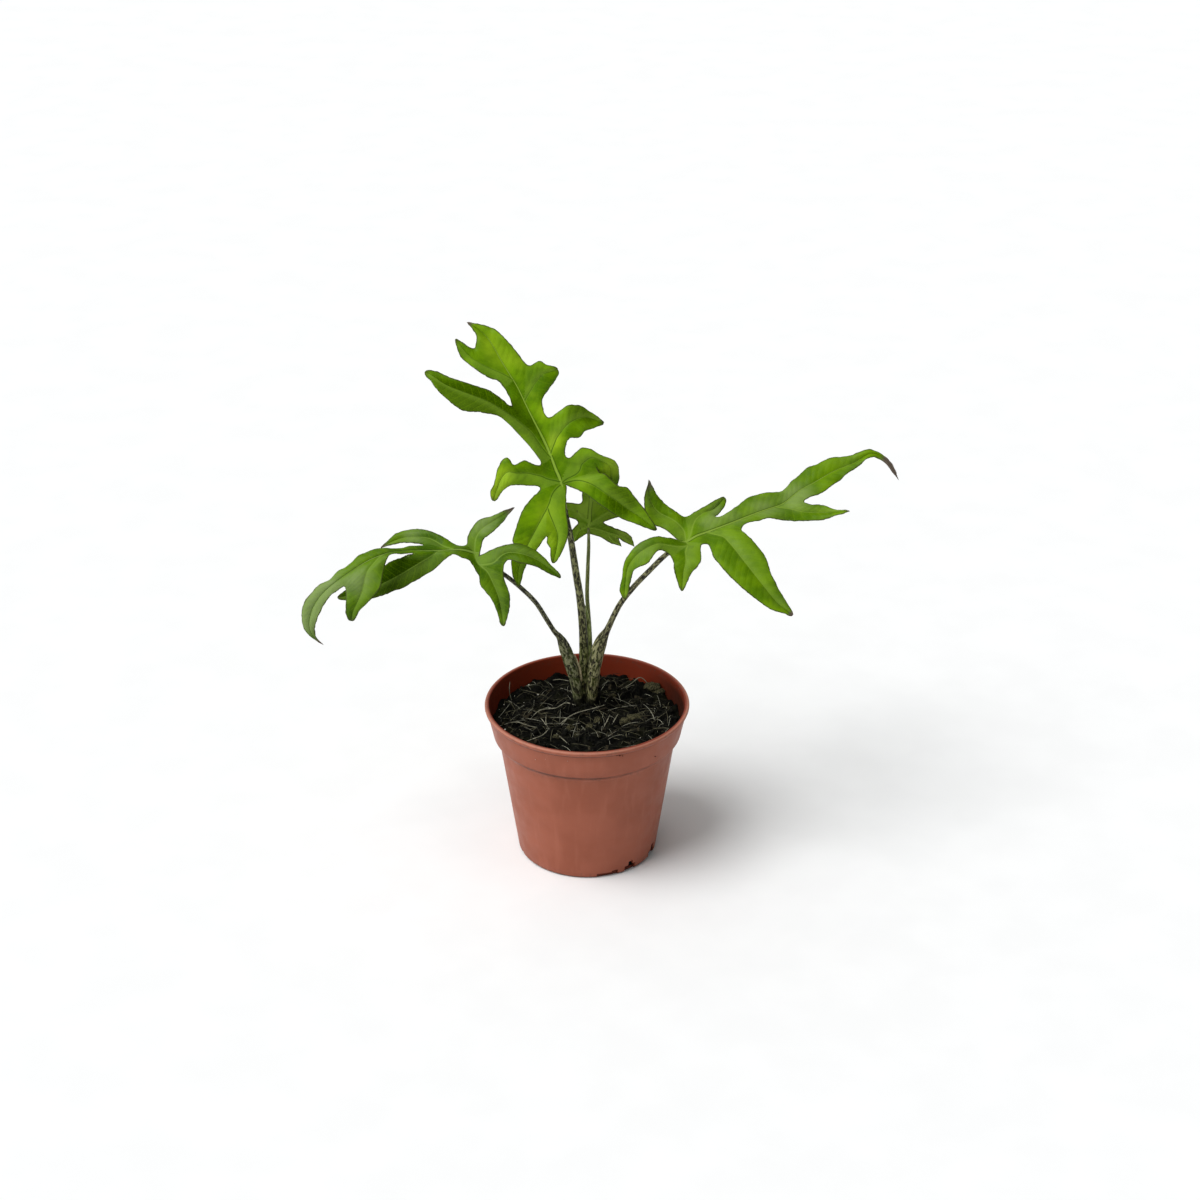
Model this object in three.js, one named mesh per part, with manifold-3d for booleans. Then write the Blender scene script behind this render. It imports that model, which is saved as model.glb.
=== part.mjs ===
// A potted alocasia brancifolia: four deeply cut leaves on mottled stalks, in dark soil in a nursery pot.
// Millimetres, +Z up. The origin is the centre of the pot's underside, and the front of the plant faces -Y.
import * as THREE from "three";
import { mergeVertices } from "three/addons/utils/BufferGeometryUtils.js";
import Module from "manifold-3d";

const wasm = await Module();
wasm.setup();

// Pot: a 12 cm nursery pot
const POT_HEIGHT = 96.5;
const RIM_RADIUS = 60;
const BASE_RADIUS = 41;
const SHOULDER_RADIUS = 51.6;
const SHOULDER_HEIGHT = 73;
const COLLAR_BOTTOM_RADIUS = 55;
const COLLAR_TOP_RADIUS = 58.3;
const POT_WALL = 1.2;
const POT_FLOOR = 1.6;
const POT_SEGMENTS = 48;
// Drainage notches round the foot: angle from the front towards the right, width, height
const FOOT_NOTCHES = [
  [16, 10, 2.6], [38, 3.4, 4.4], [67, 3.4, 4], [-69, 3.4, 2.4],
  [196, 10, 2.6], [218, 3.4, 4.4], [247, 3.4, 4],
];

// Soil
const SOIL_LEVEL = 85;
const SOIL_RADIUS = 54.3;
const SOIL_MOUND = 4.5;
const SOIL_ROUGHNESS = 1.3;
const STEM_SPOT = [-1, 15];
const FIBRE_COUNT = 18;
const LUMP_COUNT = 8;

// Leaves and stalks
const GAP = 0.3;
const BLADE_THICKNESS = 0.8;
const RIB_DEPTH = 0.9;
const LEAF_LENGTH = 110;
const BULGE = 0.4;
const WAVE = 0.5;
const CELLS = { tall: 3, left: 2, right: 2, back: 2 };
const STALK_SIDES = 8;
const STALK_STEPS = 2;

const COLOURS = {
  pot: 0xa86450,
  soil: 0x1c1712,
  tall: 0x6b9b14,
  left: 0x5f8f38,
  right: 0x5f871e,
  back: 0x54802a,
  stalk: 0x4a4433,
};

// Stalks: centre line from below the soil to the leaf, each point with its radius, in the part's own frame.
// The wide stretch low down is the open sheath, which ends in a shoulder.
const STALKS = {
  tall: [
    [-1.9, 16.5, 70, 2.6], [-1.9, 16.5, 91, 2.9], [-2, 16.3, 104, 2.9], [-2, 15.6, 118, 2.7],
    [-2.2, 14.6, 132, 2.5], [-2.9, 13.4, 146, 2.3], [-4.2, 12.5, 160.5, 2.2], [-6, 11.9, 173.5, 2.1],
    [-9, 11, 196.5, 1.8], [-11.8, 10.5, 212.5, 1.5], [-13.2, 10.2, 222, 1.4], [-13.8, 10.2, 229, 1.3],
  ],
  left: [
    [-7.6, 12.5, 70, 2.9], [-7.8, 12, 91, 3.5], [-8.2, 11.4, 105, 3.7], [-10.4, 9.4, 118, 3.5],
    [-12.7, 7.9, 127, 3.1], [-14.4, 7, 132.5, 2.7], [-16.1, 6.1, 136.5, 1.9], [-18.8, 4.7, 140.5, 1.45],
    [-23.4, 2.5, 150, 1.4], [-29.4, -1, 162.5, 1.35], [-38.7, -5, 175, 1.3], [-47, -8, 184, 1.25],
    [-54.5, -10.4, 191, 1.2], [-58.6, -11.3, 194.3, 1.1],
  ],
  right: [
    [4.4, 12, 70, 2.9], [4.3, 11.8, 91, 3.5], [4.5, 11.6, 105, 3.7], [6, 11.6, 118, 3.5],
    [8.2, 11.6, 128, 3.1], [9.7, 11.6, 133, 2.7], [11.3, 11.4, 137, 2.1], [13, 11.2, 141, 1.8],
    [15.6, 11, 147.5, 1.7], [19.6, 10.6, 156, 1.65], [27.4, 10, 167.3, 1.6], [35.4, 9.2, 177, 1.55],
    [46.2, 8.4, 189, 1.4], [50.6, 8.2, 193.6, 1.2],
  ],
  back: [
    [1.7, 21, 70, 1.9], [1.7, 21, 92, 2], [1.7, 21, 112.5, 1.9], [1.2, 21, 127.5, 1.7], [0.8, 21, 138, 1.6],
    [0.6, 21, 146, 1.25], [0.1, 21, 155, 1.2], [0.6, 21, 174, 1.1], [1.1, 20.9, 188, 1], [1, 20.8, 194.6, 1],
  ],
};

// Blades, in millimetres from the joint. The main strip's rows give the left margin, the rib and the right
// margin, from the notch behind the stalk to the tip, seen from above with the tip ahead.
// A lobe leaves its parent's margin at a row. Its rows give a rib point and the width to its left and right,
// or three points, and its face is the way that its upper side looks. A fourth number rounds a tip off.
const TALL_LEAF = {
  joint: [-14.5, 8, 233],
  sinus: [3, 0, -0.5],
  rows: [
    [[-5, -3.5, -5], [0, 0, 0], [9.5, -0.5, 2.5]],
    [[-11.5, -2.5, -1.5], [-1.5, 1, 3.5], [22, 1.5, 6]],
    [[-11, 0, 5], [-3.5, 3, 8], [11, 1.5, 11]],
    [[-11, 1.5, 11.5], [-5, 4.5, 13], [3.5, 2.5, 15]],
    [[-16, 8, 29], [-9, 8, 21.5], [-2.5, 6.5, 25.5]],
    [[-27, 12, 42], [-15, 11, 33.5], [-7, 10.5, 36]],
    [[-29.5, 14, 49.5], [-20, 14, 43], [-10.5, 13.5, 45]],
    [[-34.5, 16.5, 56], [-24, 17, 51], [-14.5, 17.5, 54]],
    [[-41, 17.5, 58], [-28.5, 19.5, 58.5], [-18, 21, 63]],
    [[-48, 21, 66], [-33, 23, 65.5], [-25.5, 24.5, 71]],
    [[-48, 25, 72], [-37.5, 26.5, 72.5], [-30.5, 27.5, 76]],
    [[-47, 30, 77.5], [-42.5, 30.5, 78], [-38, 32, 81]],
  ],
  tip: [-52.5, 35.5, 83.5],
  lobes: [
    {
      // Long hanging lobe, with a shorter one beside it
      side: "left", at: 1, face: [0, -9, 3],
      rows: [
        [-6.5, -6.5, -9.5, 10, 10], [-11.5, -10, -18.5, 9.5, 11.5],
        [[-8, -12, -27], [-17.5, -14.5, -29], [-27, -14, -28.5]], [-20, -16.5, -34, 5, 7],
        [-22.5, -18, -39.5, 3.5, 5.5], [-24.5, -19.5, -46.5, 3, 3],
      ],
      tip: [-24, -21.5, -54, 0.4],
      lobes: [
        {
          side: "left", at: 2, face: [1, -9, 3],
          rows: [
            [[4, -11.5, -24.5], [-1.5, -13, -27.5], [-7.5, -13.5, -30.5]],
            [-2.5, -15.5, -33.5, 3.5, 3.5],
          ],
          tip: [-4.5, -17.5, -41, 0.7],
        },
      ],
    },
    {
      // Left lobe with a curled end
      side: "left", at: 3, face: [0, -9, 3],
      rows: [
        [[-18.5, -4, 1], [-18.5, -1.5, 7.5], [-20.5, 0.5, 14]],
        [[-25, -5.5, 2], [-25, -4, 8.5], [-26, -2, 12.5]],
        [[-28.5, -5.5, 1.5], [-30, -4, 9.5], [-30.5, 0, 16]],
        [[-31.5, -4.5, -1], [-33.5, -3.5, 5], [-35, -1.5, 10.5]],
        [[-33, -3.5, -3], [-35.5, -2.5, -0.5], [-37.5, -2.5, 0.5]],
        [[-34.5, -1.5, -6], [-37, -1.5, -5.5], [-39.5, -1, -4.5]],
      ],
      tip: [-38, -1, -10, 0.8],
    },
    {
      // Long left lobe
      side: "left", at: 5, face: [0, -9, 3],
      rows: [
        [-31, 10, 40, 4, 4], [-41, 11, 46, 7, 5.5], [-51.5, 12.5, 50, 10, 5],
        [[-67, 15.5, 48.5], [-64.5, 16.5, 53.5], [-62, 18, 57]],
        [[-73, 20.5, 54], [-71.5, 20.5, 57], [-70.5, 21.5, 59.5]],
      ],
      tip: [-76, 23, 58.5, 0.8],
    },
    {
      // Tooth near the tip
      side: "left", at: 10, face: [0, -9, 3],
      rows: [[-53, 23.5, 70, 3.5, 3.5]],
      tip: [-58.5, 28, 76, 0.35],
    },
    {
      // Long low right lobe
      side: "right", at: 1, face: [0, -9, 3],
      rows: [
        [[25, -0.5, 6], [18.5, -3, 0.5], [12.5, -4.5, -3]],
        [[32, -2.5, 0], [26.5, -5.5, -4.5], [20.5, -6, -8.5]],
        [[37.5, -2.5, -1.5], [32, -6.5, -8], [26.5, -7.5, -12.5]],
        [[41.5, -4, -6.5], [37.5, -7, -12.5], [33, -7.5, -17]],
        [[47.5, -4.5, -14.5], [45, -5.5, -18.5], [42, -6.5, -21.5]],
      ],
      tip: [54, -4, -27, 0.35],
    },
    {
      // Right lobe that folds over
      side: "right", at: 3, face: [0, -9, 3],
      rows: [
        [[12.5, 3.5, 20.5], [17, 0.5, 16], [21, 1, 10.5]],
        [[22, 3.5, 16.5], [23.5, 1.5, 13.5], [23, 1.5, 9]], [[31, 7, 10.5], [28, 4, 9], [24, 3, 6.5]],
        [[33, 9, 1.5], [28.5, 6.5, 1.5], [24, 5, 1.5]],
      ],
      tip: [29, 7.5, -8, 0.6],
    },
    {
      // Middle right lobe
      side: "right", at: 5, face: [0, -9, 3],
      rows: [
        [[-1, 11, 39.5], [3, 7, 32.5], [4.5, 5.5, 25.5]],
        [[4.5, 11.5, 43], [8, 9, 35.5], [10.5, 7.5, 25.5]],
        [[11, 12.5, 42], [13, 9.5, 37], [13.5, 8.5, 28.5]],
        [[17, 13.5, 38], [18.5, 12.5, 34.5], [18.5, 11.5, 29.5]],
      ],
      tip: [24, 14.5, 31, 0.25],
    },
    {
      // Upper right lobe
      side: "right", at: 8, face: [0, -9, 3],
      rows: [
        [[-12, 21.5, 65.5], [-10, 18, 59.5], [-6, 16.5, 52]],
        [[-7.5, 21, 63.5], [-5.5, 19.5, 60], [-2.5, 20.5, 56]],
      ],
      tip: [-1.5, 23, 60, 0.6],
    },
  ],
};

const LEFT_LEAF = {
  joint: [-63, -12, 199.5],
  sinus: [2.5, -2.5, -1],
  rows: [
    [[2, -6, -4.5], [0, 0, 0], [0, 6, 2.5]],
    [[-2.5, -7, -1.5], [-6, -0.5, 2], [-5, 5, 2.5]],
    [[-7, -7, 0.5], [-10, -0.5, 2.5], [-10.5, 5, 2.5]],
    [[-12.5, -7, 2.5], [-16, -1, 2.5], [-17.5, 3, 3]],
    [[-21, -6, 3], [-24, -2, 3], [-31, 2, 3.5]],
    [[-34, -8, 3.5], [-33.5, -4, 4], [-37.5, 0, 3.5]],
    [[-47.5, -10, 2.5], [-47.5, -6, 3.5], [-49, -2, 3.5]],
    [[-60, -16, -4.5], [-58, -9, 1], [-59, -3, 3]],
    [[-72.5, -17, -12.5], [-67.5, -12, -4], [-69, -7, -2.5]],
    [[-78, -17, -16], [-78.5, -14, -11.5], [-82, -10, -12]],
    [[-83.5, -18, -22], [-86.5, -16, -19], [-91, -13, -18]],
    [[-88, -19, -31], [-92, -17, -28.5], [-97, -15, -28]],
    [[-91, -16, -42], [-93.5, -16, -41], [-96.5, -15, -40.5]],
  ],
  tip: [-87, -10, -53.5],
  lobes: [
    {
      // Front hanging lobe
      side: "left", at: 1, face: [-2, -8, 4],
      rows: [
        [7, -9, -6.5, 6, 5.5], [10, -12, -11.5, 7, 7], [13.5, -15, -20.5, 6.5, 4],
        [15, -17, -28, 4.5, 2.5],
      ],
      tip: [16, -18, -37, 0.55],
      lobes: [
        {
          // Right arched lobe
          side: "left", at: 1, face: [1, -5, 8],
          rows: [
            [17, -5, 2.5, 4.5, 5], [26, -7, 3.5, 5.5, 6], [35.5, -8, 0, 4, 5], [42.5, -9, -5.5, 2.5, 3],
          ],
          tip: [48.5, -10, -10.5, 0.7],
        },
      ],
    },
    {
      // Low dark lobe
      side: "left", at: 5, face: [-2, -6, 6],
      rows: [
        [[-25, -7, -8.5], [-31, -6, -4], [-37, -8, 2]], [-44.5, -2, -14, 7.5, 9.5],
        [-57, 2, -22.5, 6, 9], [-69, 5, -28.5, 4, 5],
      ],
      tip: [-79, 6, -31.5, 0.7],
    },
    {
      // Front left lobe
      side: "left", at: 8, face: [-2, -8, 4],
      rows: [
        [[-52.5, -19, -12], [-62.5, -19, -14.5], [-71.5, -18, -15.5]],
        [[-59.5, -21, -20.5], [-65.5, -21, -21.5], [-71.5, -21, -22]],
        [[-64.5, -21.5, -26], [-68, -21.5, -26.5], [-71.5, -21.5, -27.5]],
      ],
      tip: [-69, -21.5, -32, 0.8],
    },
    {
      // Raised back lobe
      side: "right", at: 1, face: [-2, -6, 6],
      rows: [[0.5, 10, 5, 4.5, 4.5], [4, 14, 9, 5, 6], [11, 18, 12, 3, 4.5]],
      tip: [22, 23, 17.5],
    },
    {
      // Back left lobe
      side: "right", at: 4, face: [-1, -5, 8],
      rows: [
        [[-29.5, 7, 2], [-25.5, 10, 4.5], [-22, 11, 6.5]], [-35.5, 13, 4, 4.5, 5], [-44, 14, 2, 3, 3.5],
      ],
      tip: [-54, 13, -3.5],
    },
  ],
};

const RIGHT_LEAF = {
  joint: [56.5, 8, 196],
  sinus: [-4, 0, 1.5],
  rows: [
    [[-1, 11, 3.5], [0, 0, 0], [2, -3, -0.5]],
    [[0, 20, 7], [6, 3, 2], [8.5, -5, 1]],
    [[9, 22, 8], [12, 7, 3], [13, -3, 0]],
    [[18, 20, 7], [19.5, 11, 5], [22, 2, 3.5]],
    [[25.5, 24, 8], [29, 17, 6], [32, 8, 5.5]],
    [[33.5, 32, 10.5], [37.5, 22, 7], [41, 16, 6.5]],
    [[42.5, 38, 13], [47.5, 28, 8], [49, 20, 6]],
    [[55.5, 42, 12.5], [57.5, 34, 9], [61.5, 30, 8]],
    [[63, 48, 15.5], [67, 42, 14], [69.5, 34, 10.5]],
    [[70.5, 54, 20.5], [76, 46, 17], [81.5, 40, 14]],
    [[85.5, 58, 26.5], [88.5, 52, 22], [92, 47, 19]],
    [[99, 60, 28], [101.5, 57, 25], [103, 54, 24.5]],
    [[109.5, 60, 31.5], [110.5, 59, 30], [111, 57, 28.5]],
    [[121, 60, 24.5], [120.5, 59.5, 24], [119, 59, 23]],
  ],
  tip: [127, 58, 13],
  lobes: [
    {
      // Raised back left lobe
      side: "left", at: 1, face: [2, -7, 6],
      rows: [[-7.5, 16, 8, 8, 4.5], [-15.5, 19, 11, 8.5, 6], [-20.5, 21, 19, 3, 4.5]],
      tip: [-21, 23, 29],
    },
    {
      // Short back lobe
      side: "left", at: 3, face: [-3, -6, 7],
      rows: [
        [[13.5, 28.5, 10.5], [17, 28, 8], [20.5, 27, 6.5]],
        [[18.5, 33, 11.5], [21, 33, 10], [23.5, 32.5, 8.5]],
      ],
      tip: [23.5, 36, 11.5, 0.7],
    },
    {
      // Curling front left lobe
      side: "right", at: 1, face: [-3, -6, 7],
      rows: [
        [[-0.5, -10, -1.5], [-3.5, -6, 0], [-7.5, -5, 5]], [-11, -9, 3, 4.5, 4.5],
        [-17, -11, 5, 4.5, 4.5], [-27.5, -15, 1, 8.5, 4], [-33.5, -18, -7, 4.5, 2.5],
        [-34.5, -20, -15.5, 2.5, 2.5], [-35, -20.5, -20.5, 2.5, 2.5],
      ],
      tip: [-35, -21, -25, 0.8],
      lobes: [
        {
          // Small front lobe
          side: "left", at: 1, face: [0, -8, 5],
          rows: [[0, -14, -4.5, 8, 7.5], [-1.5, -18, -10, 4, 5]],
          tip: [-2.5, -21, -20, 0.4],
        },
      ],
    },
    {
      // Long front lobe
      side: "right", at: 4, face: [1, -6, 7],
      rows: [
        [27, -5, 0.5, 11, 13.5], [35, -14, -7, 11.5, 12.5], [43, -21, -15, 7, 10],
        [51.5, -26, -24.5, 5, 6], [56.5, -28, -28.5, 3, 3],
      ],
      tip: [60, -29, -31.5, 0.8],
    },
    {
      // Far right lobe
      side: "right", at: 8, face: [0, -5, 8],
      rows: [
        [[73.5, 31, 9.5], [70, 28, 6.5], [62.5, 24, 2.5]], [79.5, 27, 6.5, 4.5, 5],
        [88, 25, 7.5, 1.5, 2.5],
      ],
      tip: [95, 23, 9, 0.5],
    },
  ],
};

const BACK_LEAF = {
  joint: [1, 23, 199],
  sinus: [-0.5, 0, -4],
  rows: [
    [[5.5, 1, -2], [0, 0, 0], [-4.5, 1, -2]],
    [[8.5, 2, 2], [0.5, 0, 5], [-6, 1.5, 2.5]],
    [[10, 4, 7], [0.5, 1, 9.5], [-6.5, 3, 9]],
    [[9, 5, 13.5], [1, 2, 14], [-4, 3.5, 13.5]],
    [[7, 5.5, 19.5], [1.5, 3.5, 20.5], [-3.5, 5, 19.5]],
    [[7.5, 8, 26], [2, 5.5, 26.5], [-2.5, 7, 26.5]],
  ],
  tip: [3, 11, 37],
  lobes: [
    {
      // Forked low lobe
      side: "left", at: 1, face: [0, 9, -2],
      rows: [
        [8.5, 2, -3.5, 4, 4], [13.5, 3, -6, 3, 3.5], [[17.5, 4, -9.5], [19, 5, -8.5], [21, 5, -6]],
        [23, 6, -11.5, 2, 2.5],
      ],
      tip: [26.5, 7, -16],
      lobes: [
        {
          // Its short tip
          side: "left", at: 2, face: [0, 9, -2],
          rows: [[[13.5, 3, -12], [16, 3.5, -11.5], [18, 3.5, -11.5]]],
          tip: [19, 4, -14.5],
        },
      ],
    },
    {
      // Low inner lobe
      side: "right", at: 1, face: [0, 9, -2],
      rows: [[-6.5, 2, -5.5, 3.5, 3]],
      tip: [-8.5, 2.5, -11],
    },
    {
      // Outer side lobe
      side: "left", at: 3, face: [0, 9, -2],
      rows: [[18, 6, 8, 4, 4], [26, 8, 6, 3, 3.5]],
      tip: [32.5, 9, 4],
    },
    {
      // Inner side lobe
      side: "right", at: 3, face: [0, 9, -2],
      rows: [[-12, 4, 9.5, 3.5, 4]],
      tip: [-18.5, 5, 12.5],
    },
    {
      // Upper side lobe
      side: "left", at: 5, face: [0, 9, -2],
      rows: [[12, 7, 22.5, 3, 3.5]],
      tip: [16, 8, 28],
    },
  ],
};

const LEAVES = { tall: TALL_LEAF, left: LEFT_LEAF, right: RIGHT_LEAF, back: BACK_LEAF };

// Seeded random numbers, so the model is the same on every run
function randomSource(seed) {
  let state = seed;
  return () => {
    state = (Math.imul(state, 1664525) + 1013904223) >>> 0;
    return state / 4294967296;
  };
}

// Solids and booleans

function geometryOf(positions, triangles) {
  const geometry = new THREE.BufferGeometry();
  geometry.setAttribute("position", new THREE.Float32BufferAttribute(positions, 3));
  geometry.setIndex(triangles);
  return geometry;
}

function toSolid(geometry) {
  const bare = geometry.clone();
  bare.deleteAttribute("normal");
  bare.deleteAttribute("uv");
  const merged = mergeVertices(bare, 1e-4);
  const index = merged.index.array;
  const triangles = [];
  for (let i = 0; i < index.length; i += 3) {
    const [a, b, c] = [index[i], index[i + 1], index[i + 2]];
    if (a !== b && b !== c && c !== a) triangles.push(a, b, c);
  }
  return new wasm.Manifold(new wasm.Mesh({
    numProp: 3,
    vertProperties: new Float32Array(merged.attributes.position.array),
    triVerts: new Uint32Array(triangles),
  }));
}

function toGeometry(solid) {
  const largest = solid.decompose().sort((a, b) => b.volume() - a.volume())[0];
  const mesh = largest.getMesh();
  return geometryOf(Array.from(mesh.vertProperties), Array.from(mesh.triVerts));
}

// Blades

function makeNode(point, onMargin) {
  return { point, onMargin, corner: false };
}

function direction(from, to) {
  return to.point.clone().sub(from.point).normalize();
}

// A strip starts at its root row and ends in its tip. A lobe's root is three nodes of its parent's margin.
function makeStrip(root, rows, tip) {
  const columns = [0, 1, 2].map((side) => [root[side], ...rows.map((row) => row[side]), tip]);
  return { left: columns[0], rib: columns[1], right: columns[2], lobes: [] };
}

function leafPoint(leaf, [x, y, z]) {
  return new THREE.Vector3(x, y, z).add(new THREE.Vector3(...leaf.joint));
}

function tipNode(leaf, [x, y, z, roundness]) {
  const tip = makeNode(leafPoint(leaf, [x, y, z]), 0);
  tip.corner = !roundness;
  tip.roundness = roundness;
  return tip;
}

function makeRow(leaf, row) {
  return row.map((point, side) => makeNode(leafPoint(leaf, point), side === 1 ? 0 : 1));
}

// A lobe's row is three points like the main strip's, or a rib point with the widths on both sides of it
function lobeRows(leaf, lobe, start, tip) {
  const face = new THREE.Vector3(...lobe.face).normalize();
  const given = lobe.rows.map((row) => (Array.isArray(row[0]) ? makeRow(leaf, row) : null));
  const ribs = lobe.rows.map((row, i) => given[i]?.[1] ?? makeNode(leafPoint(leaf, row), 0));
  const chain = [start, ...ribs, tip];
  return ribs.map((rib, i) => {
    if (given[i]) return given[i];
    const along = direction(chain[i], rib).add(direction(rib, chain[i + 2])).normalize();
    const across = along.cross(face).normalize();
    const [leftWidth, rightWidth] = lobe.rows[i].slice(3);
    const left = makeNode(rib.point.clone().addScaledVector(across, -leftWidth), 1);
    const right = makeNode(rib.point.clone().addScaledVector(across, rightWidth), 1);
    return [left, rib, right];
  });
}

function addLobes(leaf, strip, lobes = []) {
  for (const lobe of lobes) {
    const margin = strip[lobe.side];
    const [before, throat, after] = [margin[lobe.at - 1], margin[lobe.at], margin[lobe.at + 1]];
    throat.onMargin = 0;
    const root = lobe.side === "left" ? [before, throat, after] : [after, throat, before];
    const tip = tipNode(leaf, lobe.tip);
    const child = makeStrip(root, lobeRows(leaf, lobe, throat, tip), tip);
    child.parentRib = strip.rib[lobe.at];
    strip.lobes.push({ side: lobe.side, at: lobe.at, strip: child });
    addLobes(leaf, child, lobe.lobes);
  }
}

function leafCage(leaf) {
  const sinus = makeNode(leafPoint(leaf, leaf.sinus), 0);
  const rows = leaf.rows.map((row) => makeRow(leaf, row));
  const strip = makeStrip([sinus, sinus, sinus], rows, tipNode(leaf, leaf.tip));
  addLobes(leaf, strip, leaf.lobes);
  return strip;
}

function allStrips(strip) {
  return [strip, ...strip.lobes.flatMap((lobe) => allStrips(lobe.strip))];
}

// The outline runs up the left margin, round the tip and down the right margin, in and out of every lobe.
function outline(strip) {
  const side = (name) => {
    const nodes = strip[name].slice(0, -1);
    for (const lobe of strip.lobes.filter((l) => l.side === name)) {
      const inner = outline(lobe.strip).slice(1, -1);
      const place = nodes.indexOf(strip[name][lobe.at]);
      nodes.splice(place, 1, ...(name === "left" ? inner : inner.reverse()));
    }
    return nodes;
  };
  return [...side("left"), strip.rib.at(-1), ...side("right").reverse()];
}

// The tangent where a curve passes a node: across a rounded tip, else no longer than its shorter neighbour
function tangentAt(before, node, after) {
  const reach = node.roundness
    ? node.roundness * before.point.distanceTo(after.point)
    : Math.min(before.point.distanceTo(node.point), node.point.distanceTo(after.point));
  return direction(before, node).add(direction(node, after)).setLength(reach);
}

// Every edge of the cage that is curved, with the tangents at its two ends
function curvedEdges(strip) {
  const edges = new Map();
  const add = (nodes) => {
    const tangents = nodes.map((node, i) => {
      const inner = i > 0 && i < nodes.length - 1 && !node.corner;
      return inner ? tangentAt(nodes[i - 1], node, nodes[i + 1]) : null;
    });
    for (let i = 0; i < nodes.length - 1; i++) {
      if (!edges.has(nodes[i])) edges.set(nodes[i], new Map());
      edges.get(nodes[i]).set(nodes[i + 1], [tangents[i], tangents[i + 1]]);
    }
  };
  add(outline(strip));
  for (const part of allStrips(strip)) add(part.parentRib ? [part.parentRib, ...part.rib] : part.rib);
  return edges;
}

function hermite(a, b, tangents, s) {
  const chord = b.point.clone().sub(a.point);
  const [start, end] = tangents.map((tangent) => tangent ?? chord);
  const [s2, s3] = [s * s, s * s * s];
  return a.point.clone().multiplyScalar(2 * s3 - 3 * s2 + 1)
    .addScaledVector(start, s3 - 2 * s2 + s)
    .addScaledVector(b.point, 3 * s2 - 2 * s3)
    .addScaledVector(end, s3 - s2);
}

function edgePoint(edges, a, b, s) {
  const forward = edges.get(a)?.get(b);
  if (forward) return hermite(a, b, forward, s);
  const backward = edges.get(b)?.get(a);
  if (backward) return hermite(b, a, backward, 1 - s);
  return a.point.clone().lerp(b.point, s);
}

// A patch between four nodes, its inside blended from its four edges
function patchPoint(edges, [a, b, c, d], u, v) {
  const blend = edgePoint(edges, a, b, u).multiplyScalar(1 - v);
  blend.addScaledVector(edgePoint(edges, d, c, u), v);
  blend.addScaledVector(edgePoint(edges, a, d, v), 1 - u);
  blend.addScaledVector(edgePoint(edges, b, c, v), u);
  blend.addScaledVector(a.point, -(1 - u) * (1 - v));
  blend.addScaledVector(b.point, -u * (1 - v));
  blend.addScaledVector(c.point, -u * v);
  return blend.addScaledVector(d.point, -(1 - u) * v);
}

function patches(strip) {
  const list = [];
  for (let i = 0; i < strip.rib.length - 1; i++) {
    list.push([strip.left[i], strip.rib[i], strip.rib[i + 1], strip.left[i + 1]]);
    list.push([strip.rib[i], strip.right[i], strip.right[i + 1], strip.rib[i + 1]]);
  }
  return list;
}

// The blade's middle surface: points, how near each is to the margin (1) or a rib (0), and triangles
function bladeSheet(leaf, cells) {
  const cage = leafCage(leaf);
  const edges = curvedEdges(cage);
  const sheet = { points: [], margins: [], triangles: [] };
  const known = new Map();
  const place = (point, margin) => {
    const key = point.toArray().map((value) => Math.round(value * 1000)).join();
    if (!known.has(key)) {
      known.set(key, sheet.points.length);
      sheet.points.push(point);
      sheet.margins.push(margin);
    }
    return known.get(key);
  };
  const addTriangle = (...corners) => {
    if (new Set(corners).size === 3) sheet.triangles.push(corners);
  };
  for (const patch of allStrips(cage).flatMap(patches)) {
    const [a, b, c, d] = patch.map((node) => node.onMargin);
    const grid = [];
    for (let j = 0; j <= cells; j++) {
      for (let i = 0; i <= cells; i++) {
        const [u, v] = [i / cells, j / cells];
        const margin = (1 - v) * ((1 - u) * a + u * b) + v * ((1 - u) * d + u * c);
        grid.push(place(patchPoint(edges, patch, u, v), margin));
      }
    }
    for (let j = 0; j < cells; j++) {
      for (let i = 0; i < cells; i++) {
        const k = j * (cells + 1) + i;
        addTriangle(grid[k], grid[k + 1], grid[k + cells + 2]);
        addTriangle(grid[k], grid[k + cells + 2], grid[k + cells + 1]);
      }
    }
  }
  return sheet;
}

function sheetNormals(sheet) {
  const normals = sheet.points.map(() => new THREE.Vector3());
  for (const [a, b, c] of sheet.triangles) {
    const [p, q, r] = [sheet.points[a], sheet.points[b], sheet.points[c]];
    const normal = q.clone().sub(p).cross(r.clone().sub(p));
    for (const corner of [a, b, c]) normals[corner].add(normal);
  }
  return normals.map((normal) => normal.normalize());
}

function fromJoint(leaf, point) {
  return point.distanceTo(new THREE.Vector3(...leaf.joint));
}

// The blade swells between its ribs and waves at its margin, and is calm near the stalk
function waveHeight(leaf, point, margin) {
  const phase = 0.33 * point.x + 0.21 * point.y + 0.27 * point.z;
  const calm = Math.min(1, fromJoint(leaf, point) / 30);
  return calm * (WAVE * margin * margin * Math.sin(phase) + BULGE * 4 * margin * (1 - margin));
}

function ribDepth(leaf, point, margin) {
  if (margin > 0.01) return 0;
  return RIB_DEPTH * Math.max(0.2, 1 - fromJoint(leaf, point) / LEAF_LENGTH);
}

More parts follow.
